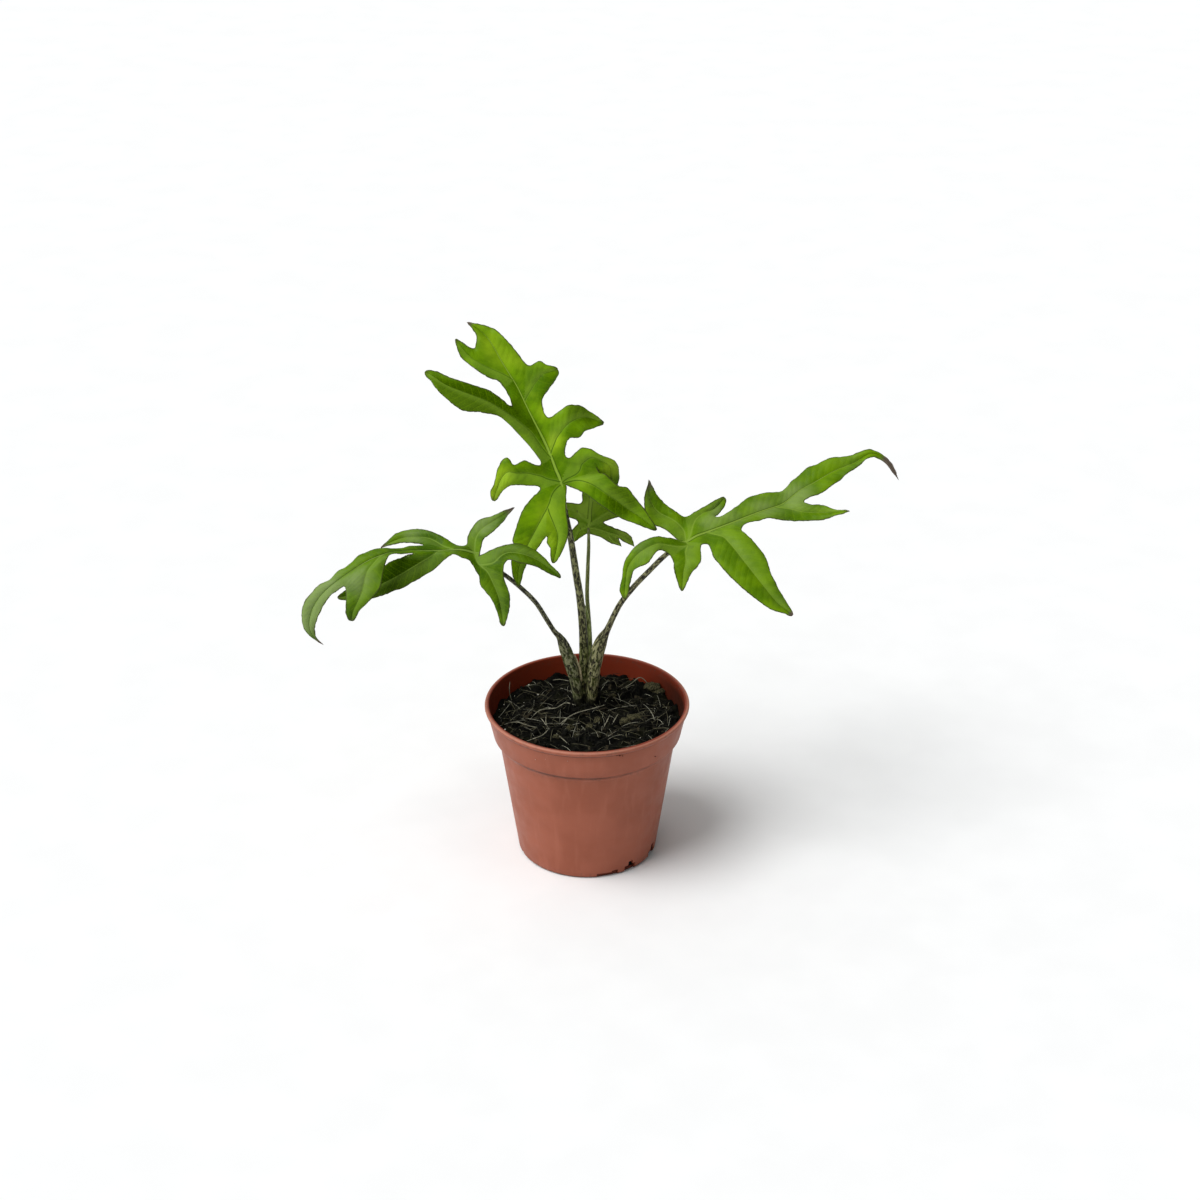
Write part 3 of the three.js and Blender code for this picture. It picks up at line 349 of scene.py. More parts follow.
RIGHT_LEAF = {
    "joint": (56.5, 8, 196),
    "sinus": (-4, 0, 1.5),
    "rows": [
        ((-1, 11, 3.5), (0, 0, 0), (2, -3, -0.5)),
        ((0, 20, 7), (6, 3, 2), (8.5, -5, 1)),
        ((9, 22, 8), (12, 7, 3), (13, -3, 0)),
        ((18, 20, 7), (19.5, 11, 5), (22, 2, 3.5)),
        ((25.5, 24, 8), (29, 17, 6), (32, 8, 5.5)),
        ((33.5, 32, 10.5), (37.5, 22, 7), (41, 16, 6.5)),
        ((42.5, 38, 13), (47.5, 28, 8), (49, 20, 6)),
        ((55.5, 42, 12.5), (57.5, 34, 9), (61.5, 30, 8)),
        ((63, 48, 15.5), (67, 42, 14), (69.5, 34, 10.5)),
        ((70.5, 54, 20.5), (76, 46, 17), (81.5, 40, 14)),
        ((85.5, 58, 26.5), (88.5, 52, 22), (92, 47, 19)),
        ((99, 60, 28), (101.5, 57, 25), (103, 54, 24.5)),
        ((109.5, 60, 31.5), (110.5, 59, 30), (111, 57, 28.5)),
        ((121, 60, 24.5), (120.5, 59.5, 24), (119, 59, 23)),
    ],
    "tip": (127, 58, 13),
    "lobes": [
        # Raised back left lobe
        lobe("left", 1, (2, -7, 6), (-21, 23, 29), [
            (-7.5, 16, 8, 8, 4.5), (-15.5, 19, 11, 8.5, 6), (-20.5, 21, 19, 3, 4.5),
        ]),
        # Short back lobe
        lobe("left", 3, (-3, -6, 7), (23.5, 36, 11.5, 0.7), [
            ((13.5, 28.5, 10.5), (17, 28, 8), (20.5, 27, 6.5)),
            ((18.5, 33, 11.5), (21, 33, 10), (23.5, 32.5, 8.5)),
        ]),
        # Curling front left lobe
        lobe("right", 1, (-3, -6, 7), (-35, -21, -25, 0.8), [
            ((-0.5, -10, -1.5), (-3.5, -6, 0), (-7.5, -5, 5)), (-11, -9, 3, 4.5, 4.5),
            (-17, -11, 5, 4.5, 4.5), (-27.5, -15, 1, 8.5, 4), (-33.5, -18, -7, 4.5, 2.5),
            (-34.5, -20, -15.5, 2.5, 2.5), (-35, -20.5, -20.5, 2.5, 2.5),
        ], [
            # Small front lobe
            lobe("left", 1, (0, -8, 5), (-2.5, -21, -20, 0.4), [
                (0, -14, -4.5, 8, 7.5), (-1.5, -18, -10, 4, 5),
            ]),
        ]),
        # Long front lobe
        lobe("right", 4, (1, -6, 7), (60, -29, -31.5, 0.8), [
            (27, -5, 0.5, 11, 13.5), (35, -14, -7, 11.5, 12.5), (43, -21, -15, 7, 10),
            (51.5, -26, -24.5, 5, 6), (56.5, -28, -28.5, 3, 3),
        ]),
        # Far right lobe
        lobe("right", 8, (0, -5, 8), (95, 23, 9, 0.5), [
            ((73.5, 31, 9.5), (70, 28, 6.5), (62.5, 24, 2.5)), (79.5, 27, 6.5, 4.5, 5),
            (88, 25, 7.5, 1.5, 2.5),
        ]),
    ],
}

BACK_LEAF = {
    "joint": (1, 23, 199),
    "sinus": (-0.5, 0, -4),
    "rows": [
        ((5.5, 1, -2), (0, 0, 0), (-4.5, 1, -2)),
        ((8.5, 2, 2), (0.5, 0, 5), (-6, 1.5, 2.5)),
        ((10, 4, 7), (0.5, 1, 9.5), (-6.5, 3, 9)),
        ((9, 5, 13.5), (1, 2, 14), (-4, 3.5, 13.5)),
        ((7, 5.5, 19.5), (1.5, 3.5, 20.5), (-3.5, 5, 19.5)),
        ((7.5, 8, 26), (2, 5.5, 26.5), (-2.5, 7, 26.5)),
    ],
    "tip": (3, 11, 37),
    "lobes": [
        # Forked low lobe
        lobe("left", 1, (0, 9, -2), (26.5, 7, -16), [
            (8.5, 2, -3.5, 4, 4), (13.5, 3, -6, 3, 3.5), ((17.5, 4, -9.5), (19, 5, -8.5), (21, 5, -6)),
            (23, 6, -11.5, 2, 2.5),
        ], [
            # Its short tip
            lobe("left", 2, (0, 9, -2), (19, 4, -14.5), [
                ((13.5, 3, -12), (16, 3.5, -11.5), (18, 3.5, -11.5)),
            ]),
        ]),
        # Low inner lobe
        lobe("right", 1, (0, 9, -2), (-8.5, 2.5, -11), [
            (-6.5, 2, -5.5, 3.5, 3),
        ]),
        # Outer side lobe
        lobe("left", 3, (0, 9, -2), (32.5, 9, 4), [
            (18, 6, 8, 4, 4), (26, 8, 6, 3, 3.5),
        ]),
        # Inner side lobe
        lobe("right", 3, (0, 9, -2), (-18.5, 5, 12.5), [
            (-12, 4, 9.5, 3.5, 4),
        ]),
        # Upper side lobe
        lobe("left", 5, (0, 9, -2), (16, 8, 28), [
            (12, 7, 22.5, 3, 3.5),
        ]),
    ],
}

LEAVES = {"tall": TALL_LEAF, "left": LEFT_LEAF, "right": RIGHT_LEAF, "back": BACK_LEAF}


# Meshes


def add_layer(mesh, name, values, domain="POINT"):
    """Stores a number or a vector for every point or face corner, for a material to read."""
    values = np.asarray(values, np.float32)
    kind, field = ("FLOAT_VECTOR", "vector") if values.ndim == 2 else ("FLOAT", "value")
    layer = mesh.attributes.new(name, kind, domain)
    layer.data.foreach_set(field, values.ravel())


def make_object(name, points, faces, materials, attributes=None, slots=None, smooth=True):
    """A mesh object from points in millimetres, with values at its points for its material."""
    mesh = bpy.data.meshes.new(name)
    points = np.asarray(points, float) / 1000
    mesh.from_pydata(points.tolist(), [], [list(map(int, face)) for face in faces])
    for key, values in (attributes or {}).items():
        add_layer(mesh, key, values)
    for material in materials:
        mesh.materials.append(material)
    if slots is not None:
        mesh.polygons.foreach_set("material_index", np.asarray(slots, np.int32))
    mesh.polygons.foreach_set("use_smooth", np.full(len(mesh.polygons), smooth))
    mesh.update()
    piece = bpy.data.objects.new(name, mesh)
    bpy.context.scene.collection.objects.link(piece)
    return piece


def unit(vectors):
    vectors = np.asarray(vectors, float)
    return vectors / np.maximum(np.linalg.norm(vectors, axis=-1, keepdims=True), 1e-9)


def smoothstep(low, high, values):
    t = np.clip((np.asarray(values, float) - low) / (high - low), 0, 1)
    return t * t * (3 - 2 * t)


def bell(values, centre, width):
    """1 at the centre, falling off to both sides over about that width."""
    return np.exp(-(((values - centre) / width) ** 2))


def run_along(points):
    """The length along a line of points, up to each of them."""
    return np.concatenate([[0], np.cumsum(np.linalg.norm(np.diff(points, axis=0), axis=1))])


def turned(x, y, angle):
    return x * math.cos(angle) - y * math.sin(angle), x * math.sin(angle) + y * math.cos(angle)


def around(radius, angle):
    return radius * math.cos(angle), radius * math.sin(angle)


def from_front(radius, degrees):
    """A place at that angle from the front towards the right."""
    angle = math.radians(degrees)
    return radius * math.sin(angle), -radius * math.cos(angle)


def nearest(samples, points):
    """For each point, the distance to the nearest sample and which one it is."""
    tree = KDTree(len(samples))
    for i, sample in enumerate(samples):
        tree.insert(sample, i)
    tree.balance()
    found = [tree.find(point) for point in points]
    return np.array([f[2] for f in found]), np.array([f[1] for f in found])


def noise_at(points, size, seed=0, octaves=3):
    """Smooth noise from -1 to 1 with features of about that size in millimetres."""
    shift = Vector((seed * 17.3, seed * 5.1, seed * 9.7))
    return np.array([noise.fractal(Vector(p) / size + shift, 1.0, 2.0, octaves) for p in points])


# Leaf cage


class Node:
    """A point of the cage: 1 on the margin and 0 inside, a corner or not, and how round a tip it makes."""

    def __init__(self, point, on_margin=0.0):
        self.point = np.array(point, float)
        self.on_margin = on_margin
        self.corner = False
        self.roundness = 0.0


def towards(a, b):
    return unit(b.point - a.point)


def make_strip(root, rows, tip):
    """A strip starts at its root row and ends in its tip."""
    columns = [[root[k]] + [row[k] for row in rows] + [tip] for k in range(3)]
    return {"left": columns[0], "rib": columns[1], "right": columns[2], "lobes": [], "parent_rib": None}


def tip_node(leaf, point):
    tip = Node(np.add(leaf["joint"], point[:3]))
    tip.roundness = point[3] if len(point) > 3 else 0.0
    tip.corner = tip.roundness == 0
    return tip


def three_point_row(leaf, row):
    return [Node(np.add(leaf["joint"], point), 0.0 if k == 1 else 1.0) for k, point in enumerate(row)]


def lobe_rows(leaf, part, start, tip):
    """The rows of a lobe. One that gives widths gets its margins across the lobe, square to its face."""
    given = [three_point_row(leaf, row) if len(row) == 3 else None for row in part["rows"]]
    ribs = [
        full[1] if full else Node(np.add(leaf["joint"], row[:3]))
        for full, row in zip(given, part["rows"])
    ]
    chain = [start] + ribs + [tip]
    rows = []
    for i, rib in enumerate(ribs):
        if given[i]:
            rows.append(given[i])
            continue
        along = towards(chain[i], rib) + towards(rib, chain[i + 2])
        across = unit(np.cross(along, part["face"]))
        left_width, right_width = part["rows"][i][3:]
        left = Node(rib.point - across * left_width, 1.0)
        right = Node(rib.point + across * right_width, 1.0)
        rows.append([left, rib, right])
    return rows


def add_lobes(leaf, strip, lobes):
    for part in lobes:
        margin = strip[part["side"]]
        before, throat, after = margin[part["at"] - 1 : part["at"] + 2]
        throat.on_margin = 0.0
        root = [before, throat, after] if part["side"] == "left" else [after, throat, before]
        tip = tip_node(leaf, part["tip"])
        child = make_strip(root, lobe_rows(leaf, part, throat, tip), tip)
        child["parent_rib"] = strip["rib"][part["at"]]
        strip["lobes"].append((part["side"], part["at"], child))
        add_lobes(leaf, child, part["lobes"])


def leaf_cage(leaf):
    sinus = Node(np.add(leaf["joint"], leaf["sinus"]))
    rows = [three_point_row(leaf, row) for row in leaf["rows"]]
    strip = make_strip([sinus] * 3, rows, tip_node(leaf, leaf["tip"]))
    add_lobes(leaf, strip, leaf["lobes"])
    return strip


def all_strips(strip):
    return [strip] + [part for _, _, child in strip["lobes"] for part in all_strips(child)]


def margin_nodes(strip, side):
    nodes = strip[side][:-1]
    for lobe_side, at, child in strip["lobes"]:
        if lobe_side == side:
            inner = outline(child)[1:-1]
            place = nodes.index(strip[side][at])
            nodes[place : place + 1] = inner if side == "left" else inner[::-1]
    return nodes


def outline(strip):
    """The nodes up the left margin, round the tip and down the right margin, in and out of every lobe."""
    return margin_nodes(strip, "left") + [strip["rib"][-1]] + margin_nodes(strip, "right")[::-1]


def tangent_at(before, node, after):
    """The tangent where a curve passes a node, as long as its shorter side except across a rounded tip."""
    if node.roundness:
        reach = node.roundness * np.linalg.norm(after.point - before.point)
    else:
        reach = min(np.linalg.norm(other.point - node.point) for other in (before, after))
    return unit(towards(before, node) + towards(node, after)) * reach


def line_edges(nodes):
    """The tangents at both ends of every piece of a curve, None where it ends or has a corner."""
    tangents = [None] * len(nodes)
    for i in range(1, len(nodes) - 1):
        if not nodes[i].corner:
            tangents[i] = tangent_at(nodes[i - 1], nodes[i], nodes[i + 1])
    pairs = zip(nodes, nodes[1:], tangents, tangents[1:])
    return {(id(a), id(b)): (start, end) for a, b, start, end in pairs}


def curved_edges(strip):
    """The tangents along the outline and along every rib, which starts at its parent's rib."""
    edges = line_edges(outline(strip))
    for part in all_strips(strip):
        start = [part["parent_rib"]] if part["parent_rib"] else []
        edges.update(line_edges(start + part["rib"]))
    return edges


def hermite(a, b, tangents, s):
    chord = b.point - a.point
    start, end = [chord if tangent is None else tangent for tangent in tangents]
    s = s[:, None]
    return (
        a.point * (2 * s**3 - 3 * s**2 + 1)
        + start * (s**3 - 2 * s**2 + s)
        + b.point * (3 * s**2 - 2 * s**3)
        + end * (s**3 - s**2)
    )


def edge_points(edges, a, b, s):
    if (id(a), id(b)) in edges:
        return hermite(a, b, edges[(id(a), id(b))], s)
    if (id(b), id(a)) in edges:
        return hermite(b, a, edges[(id(b), id(a))], 1 - s)
    return a.point * (1 - s[:, None]) + b.point * s[:, None]


def patch_points(edges, quad, cells):
    """A grid of points between four nodes, its inside blended from its four edges."""
    a, b, c, d = quad
    s = np.linspace(0, 1, cells + 1)
    low, high, left, right = [
        edge_points(edges, start, end, s) for start, end in ((a, b), (d, c), (a, d), (b, c))
    ]
    u, v = s[None, :, None], s[:, None, None]
    grid = low[None] * (1 - v) + high[None] * v + left[:, None] * (1 - u) + right[:, None] * u
    shares = [(1 - u) * (1 - v), u * (1 - v), u * v, (1 - u) * v]
    corners = sum(share * node.point for share, node in zip(shares, quad))
    margin = sum(share[..., 0] * node.on_margin for share, node in zip(shares, quad))
    return grid - corners, margin


def strip_quads(strip, i):
    """The left and the right patch after row i."""
    left, rib, right = strip["left"], strip["rib"], strip["right"]
    return (left[i], rib[i], rib[i + 1], left[i + 1]), (rib[i], right[i], right[i + 1], rib[i + 1])


class Sheet:
    """A blade's middle surface as a fine grid, with the grid of every patch kept for drawing veins on it."""

    def __init__(self, leaf, cells):
        cage = leaf_cage(leaf)
        edges = curved_edges(cage)
        self.leaf, self.cells = leaf, cells
        self.strips = all_strips(cage)
        self.grids = {}
        self.points, self.margins, self.faces, self.phases, self.known = [], [], [], [], {}
        for k, strip in enumerate(self.strips):
            for i in range(len(strip["rib"]) - 1):
                for side, quad in zip(("left", "right"), strip_quads(strip, i)):
                    points, margins = patch_points(edges, quad, cells)
                    phase = self.vein_phase(strip, side, i)
                    self.grids[(k, side, i)] = self.add_patch(points, margins, phase)
        self.points = np.array(self.points)
        self.margins = np.array(self.margins)
        self.find_border()

    def parents(self):
        """For each lobe's number: its parent strip's number, the side and the row where it leaves."""
        numbers = {id(strip): k for k, strip in enumerate(self.strips)}
        found = {}
        for k, strip in enumerate(self.strips):
            for side, at, child in strip["lobes"]:
                found[numbers[id(child)]] = (k, side, at)
        return found

    def vein_phase(self, strip, side, i):
        """Counts swept side veins over a patch: each lies at a whole number and a half."""
        rib = np.array([node.point for node in strip["rib"]])
        margin = np.array([node.point for node in strip[side]])
        run = run_along(rib)
        width = np.linalg.norm(margin - rib, axis=1)
        t = np.linspace(0, 1, self.cells + 1)
        place = run[i] + (run[i + 1] - run[i]) * t[:, None]
        wide = width[i] + (width[i + 1] - width[i]) * t[:, None]
        away = 1 - t if side == "left" else t
        return (place - VEIN_SWEEP * wide * away[None, :] ** 1.25) / VEIN_SPACING

    def add_patch(self, points, margins, phase):
        """Adds a patch and shares its points with the patches beside it."""
        size = self.cells + 1
        grid = np.zeros((size, size), int)
        for j in range(size):
            for i in range(size):
                key = tuple(np.round(points[j, i] * 500).astype(int))
                if key not in self.known:
                    self.known[key] = len(self.points)
                    self.points.append(points[j, i])
                    self.margins.append(margins[j, i])
                grid[j, i] = self.known[key]
        for j in range(self.cells):
            for i in range(self.cells):
                cell = [(j, i), (j, i + 1), (j + 1, i + 1), (j + 1, i)]
                kept = [c for n, c in enumerate(cell) if grid[c] != grid[cell[n - 1]]]
                face = [grid[c] for c in kept]
                if len(face) > 2 and len(set(face)) == len(face):
                    self.faces.append(face)
                    self.phases.append([phase[c] for c in kept])
        return grid

    def find_border(self):
        """Edges with a face on one side only, and all pairs of neighbours."""
        directed = {(face[n - 1], face[n]) for face in self.faces for n in range(len(face))}
        self.border = [(a, b) for a, b in directed if (b, a) not in directed]
        pairs = np.array([(a, b) for a, b in directed])
        self.pairs = np.unique(np.vstack([pairs, pairs[:, ::-1]]), axis=0)
        self.on_border = np.zeros(len(self.points), bool)
        self.on_border[np.array(self.border).ravel()] = True

    def relax(self, steps, strength=0.5):
        """Smooths the creases between patches and leaves the outline where it is."""
        start, end = self.pairs[:, 0], self.pairs[:, 1]
        count = np.maximum(np.bincount(start, minlength=len(self.points)), 1)[:, None]
        move = (~self.on_border)[:, None] * strength
        for _ in range(steps):
            sums = [np.bincount(start, self.points[end, k], len(self.points)) for k in range(3)]
            mean = np.stack(sums, 1) / count
            self.points = self.points + (mean - self.points) * move

    def quads(self):
        """The corners of every face, with a triangle's last one given twice."""
        return np.array([face if len(face) == 4 else face + face[-1:] for face in self.faces])

    def normals(self):
        corners = self.quads()
        p = self.points[corners]
        normal = np.cross(p[:, 2] - p[:, 0], p[:, 3] - p[:, 1])
        total = np.zeros_like(self.points)
        for k in range(4):
            np.add.at(total, corners[:, k], normal)
        return unit(total)

    def vertex_at(self, k, side, s, w):
        """The point at place s along a strip's rib and w of the way from the rib to the margin."""
        row = min(int(s), len(self.strips[k]["rib"]) - 2)
        grid = self.grids[(k, side, row)]
        x = (1 - w if side == "left" else w) * self.cells
        y = (s - row) * self.cells
        i, j = min(int(x), self.cells - 1), min(int(y), self.cells - 1)
        x, y = x - i, y - j
        p = self.points
        low = p[grid[j, i]] * (1 - x) + p[grid[j, i + 1]] * x
        high = p[grid[j + 1, i]] * (1 - x) + p[grid[j + 1, i + 1]] * x
        return low * (1 - y) + high * y


def swept_start(sheet, parent, side, at):
    """Where a lobe's rib runs from its parent's midrib, at a slant, to the throat of the lobe."""
    strip = sheet.strips[parent]
    rib = np.array([node.point for node in strip["rib"]])
    run = run_along(rib)
    width = np.linalg.norm(strip[side][at].point - rib[at])
    first = 1 if parent == 0 else 0
    start = np.interp(max(run[at] - RIB_SWEEP * width, run[first]), run, np.arange(len(run)))
    away = np.linspace(0, 1, 24)
    return [sheet.vertex_at(parent, side, start + (at - start) * w**0.75, w) for w in away]


def rib_line(sheet, k, parent):
    """A strip's rib as even, smoothed points, with how far along it each lies and its whole length."""
    rows = len(sheet.strips[k]["rib"]) - 1
    first = 0 if parent else 1
    line = [sheet.vertex_at(k, "right", s, 0) for s in np.linspace(first, rows, 12 * (rows - first) + 1)]
    if parent:
        line = swept_start(sheet, *parent)[:-1] + line
    line = np.array(line)
    run = run_along(line)
    dense = np.arange(0, run[-1], RIB_STEP)
    line = np.stack([np.interp(dense, run, line[:, axis]) for axis in range(3)], 1)
    for _ in range(RIB_SMOOTHING):
        line[1:-1] = (line[:-2] + 2 * line[1:-1] + line[2:]) / 4
    return line, dense, run[-1]


def rib_lines(sheet):
    """Every rib as points with a width, which shrinks to the tip, a direction, and 1 where it is a lobe's."""
    joint = np.array(sheet.leaf["joint"], float)
    parents = sheet.parents()
    lines = []
    for k in range(len(sheet.strips)):
        is_lobe = k in parents
        line, along, length = rib_line(sheet, k, parents.get(k))
        reach = np.linalg.norm(line - joint, axis=1) / LEAF_LENGTH
        start = SIDE_RIB_WIDTH if is_lobe else MIDRIB_WIDTH
        width = start * np.clip(1 - 0.55 * reach, 0.4, 1) * (1 - 0.75 * along / length)
        directions = unit(np.gradient(line, axis=0))
        values = (line, np.maximum(width, THINNEST_RIB), directions, np.full(len(line), float(is_lobe)))
        skipped = 3 if is_lobe else 0
        lines.append([value[skipped:] for value in values])
    return [np.concatenate(parts) for parts in zip(*lines)]


def corner_ratios(sheet, ribs, widths, directions, is_side):
    """For each face's corners, how many rib widths right of its nearest rib they lie, and its kind."""
    quads = sheet.points[sheet.quads()]
    _, near = nearest(ribs, quads.mean(axis=1))
    normals = unit(np.cross(quads[:, 2] - quads[:, 0], quads[:, 3] - quads[:, 1]))
    aside = unit(np.cross(directions[near], normals))
    away = np.einsum("fkx,fx->fk", quads - ribs[near][:, None], aside) / widths[near][:, None]
    ratios = [list(row[: len(face)]) for row, face in zip(away, sheet.faces)]
    return ratios, [[kind] * len(face) for kind, face in zip(is_side[near], sheet.faces)]


def wave_height(leaf, points, margins):
    phase = points @ np.array([0.33, 0.21, 0.27])
    calm = np.minimum(1, np.linalg.norm(points - leaf["joint"], axis=1) / 30)
    return calm * (WAVE * margins**2 * np.sin(phase) + BULGE * 4 * margins * (1 - margins))


# Materials


def srgb(red, green, blue):
    """A linear colour from the usual 0 to 255 numbers."""
    values = [value / 255 for value in (red, green, blue)]
    return tuple(v / 12.92 if v <= 0.04045 else ((v + 0.055) / 1.055) ** 2.4 for v in values) + (1,)


class Paint:
    """A material with one Principled shader, and short ways to add nodes to it."""

    def __init__(self, name, sockets):
        self.material = bpy.data.materials.new(name)
        self.material.use_nodes = True
        self.tree = self.material.node_tree
        self.shader = self.tree.nodes["Principled BSDF"]
        for key, value in sockets.items():
            self.shader.inputs[key].default_value = value

    def node(self, kind, inputs, output=0, **settings):
        node = self.tree.nodes.new("ShaderNode" + kind)
        for key, value in settings.items():
            setattr(node, key, value)
        for key, value in inputs.items():
            if isinstance(value, bpy.types.NodeSocket):
                self.tree.links.new(value, node.inputs[key])
            else:
                node.inputs[key].default_value = value
        return node.outputs[output]

    def attribute(self, name, vector=False):
        return self.node("Attribute", {}, "Vector" if vector else "Fac", attribute_name=name)

    def place(self):
        return self.node("TexCoord", {}, "Object")

    def noise(self, size, detail=3, place=None):
        """Noise from about 0.3 to 0.7 with features of that size in millimetres."""
        inputs = {"Vector": place or self.place(), "Scale": 1000 / size, "Detail": detail}
        return self.node("TexNoise", inputs)

    def cells(self, size, place=None, feature="F1"):
        inputs = {"Vector": place or self.place(), "Scale": 1000 / size}
        return self.node("TexVoronoi", inputs, "Distance", feature=feature)

    def ramp(self, value, low, high, start=0.0, end=1.0):
        inputs = {"Value": value, "From Min": low, "From Max": high, "To Min": start, "To Max": end}
        return self.node("MapRange", inputs, interpolation_type="SMOOTHSTEP")

    def maths(self, operation, a, b=0.0):
        return self.node("Math", {0: a, 1: b}, operation=operation)

    def mix(self, factor, a, b):
        return self.node("Mix", {0: factor, 6: a, 7: b}, 2, data_type="RGBA")

    def connect(self, socket, value):
        self.tree.links.new(value, self.shader.inputs[socket])

    def finish(self, colour, roughness, height, depth):
        """The material with its colour, its roughness and relief of that depth in millimetres."""
        self.connect("Base Color", colour)
        self.connect("Roughness", roughness)
        inputs = {"Height": height, "Distance": depth / 1000, "Strength": 1.0}
        self.connect("Normal", self.node("Bump", inputs))
        return self.material


# Light skin, deep skin, midrib, side ribs, painted sheen and light of the paler patches
LEAF_COLOURS = {
    "tall": [(105, 145, 4), (74, 112, 1), (140, 172, 60), (58, 90, 6), (140, 172, 28)],
    "left": [(88, 122, 10), (56, 90, 4), (122, 150, 62), (114, 144, 52), (124, 145, 86)],
    "right": [(100, 136, 6), (74, 110, 3), (134, 162, 62), (122, 152, 50), (118, 142, 72)],
    "back": [(106, 140, 10), (78, 112, 4), (126, 154, 50), (112, 142, 40), (124, 148, 52)],
}
LEAF_SHINE = {"tall": 0.05, "left": 0.06, "right": 0.06, "back": 0.05}
LEAF_MARGIN = srgb(64, 66, 34)
DRY_TIP = srgb(98, 84, 78)
VEIN_TINT = srgb(126, 158, 16)


def leaf_skin(paint, name):
    """Patches of light and deep green with a fine net of veins, painted shade and painted sheen; the ribs are
    drawn by their distance, with painted groove shade beside the midrib and a painted light band by each lobe
    rib.
    """
    light, deep, midrib, side_rib, pale = [srgb(*colour) for colour in LEAF_COLOURS[name]]
    # The painted shade colour, for the shade patches and the lines beside the midrib
    dark = tuple(0.45 * value for value in deep[:3]) + (1,)
    colour = paint.mix(paint.ramp(paint.noise(15), 0.38, 0.62), deep, light)
    uneven = paint.maths("MULTIPLY", paint.noise(6, 2), 0.5)
    # Painted shade darkens the skin and painted sheen and light pale it where the patches lie, a little
    # unevenly
    shade_and_sheen = paint.maths("ADD", paint.attribute("shade_and_sheen"), uneven)
    colour = paint.mix(paint.ramp(shade_and_sheen, 0.25, 1.1, 0, 0.92), colour, dark)
    colour = paint.mix(paint.ramp(shade_and_sheen, 0.25, -0.6, 0, 0.9), colour, pale)
    web = paint.ramp(paint.cells(1.4, feature="DISTANCE_TO_EDGE"), 0.0, 0.12, 0.1, 0)
    colour = paint.mix(web, colour, VEIN_TINT)
    colour = paint.mix(paint.ramp(paint.noise(0.9, 2), 0.5, 0.75, 0, 0.2), colour, light)
    across = paint.attribute("rib")
    away = paint.maths("ABSOLUTE", across)
    # Painted groove shade: a dark line on each side of the midrib, with its pale middle between them
    main = paint.mix(paint.ramp(away, 0.55, 1.1, 0.8, 0), colour, dark)
    main = paint.mix(paint.ramp(away, 0.3, 0.6, 0.85, 0), main, midrib)
    # A painted light band along each lobe rib, reaching far onto one side only
    painted_lit_band = paint.ramp(across, 1.8, 0.5, 0, 0.3)
    painted_lit_band = paint.maths("MULTIPLY", painted_lit_band, paint.ramp(across, -14, -1, 0.3, 1))
    side = paint.mix(painted_lit_band, colour, midrib)
    side = paint.mix(paint.ramp(away, 0.25, 0.7, 0.85, 0), side, side_rib)
    return paint.mix(paint.attribute("side_rib"), main, side)


def vein_lines(paint):
    """How far the skin lies from the middle of a side vein, as a part of their spacing."""
    place = paint.maths("FRACT", paint.attribute("vein"))
    return paint.maths("ABSOLUTE", paint.maths("SUBTRACT", place, 0.5))


def leaf_top(name):
    """Satin green skin with faint side veins and a thin dark margin. Where painted shade lies it is dull."""
    paint = Paint(f"leaf_top_{name}", {})
    shine = paint.ramp(paint.attribute("shade_and_sheen"), 0.2, 0.8, LEAF_SHINE[name], 0)
    paint.connect("Specular IOR Level", shine)
    lines = vein_lines(paint)
    colour = paint.mix(paint.ramp(lines, 0.02, 0.07, 0.18, 0), leaf_skin(paint, name), VEIN_TINT)
    colour = paint.mix(paint.ramp(paint.attribute("tip"), 0.5, 4, 0.5, 0), colour, LEAF_MARGIN)
    colour = paint.mix(paint.ramp(paint.attribute("edge"), 0.1, 0.5, 0.7, 0), colour, LEAF_MARGIN)
    colour = paint.mix(paint.ramp(paint.attribute("dry"), 0.15, 0.8, 0, 0.95), colour, DRY_TIP)
    roughness = paint.ramp(paint.noise(5), 0.3, 0.7, 0.34, 0.46)
    relief = paint.maths("ADD", paint.noise(1.3, 2), paint.ramp(lines, 0.0, 0.1, -0.4, 0))
    return paint.finish(colour, roughness, relief, 0.05)


def leaf_underside(name):
    """Duller and paler than the top, with raised ribs."""
    paint = Paint(f"leaf_underside_{name}", {})
    # Less shine where painted shade lies
    paint.connect("Specular IOR Level", paint.ramp(paint.attribute("shade_and_sheen"), 0.2, 0.8, 0.05, 0))
    haze = paint.ramp(paint.noise(14), 0.35, 0.65, 0, 0.1)
    colour = paint.mix(haze, leaf_skin(paint, name), srgb(134, 152, 74))
    midrib = srgb(*LEAF_COLOURS[name][2])
    colour = paint.mix(paint.ramp(vein_lines(paint), 0.02, 0.07, 0.25, 0), colour, midrib)
    colour = paint.mix(paint.ramp(paint.attribute("edge"), 0.1, 0.5, 0.8, 0), colour, LEAF_MARGIN)
    roughness = paint.ramp(paint.noise(4), 0.3, 0.7, 0.5, 0.62)
    return paint.finish(colour, roughness, paint.noise(0.9, 2), 0.06)


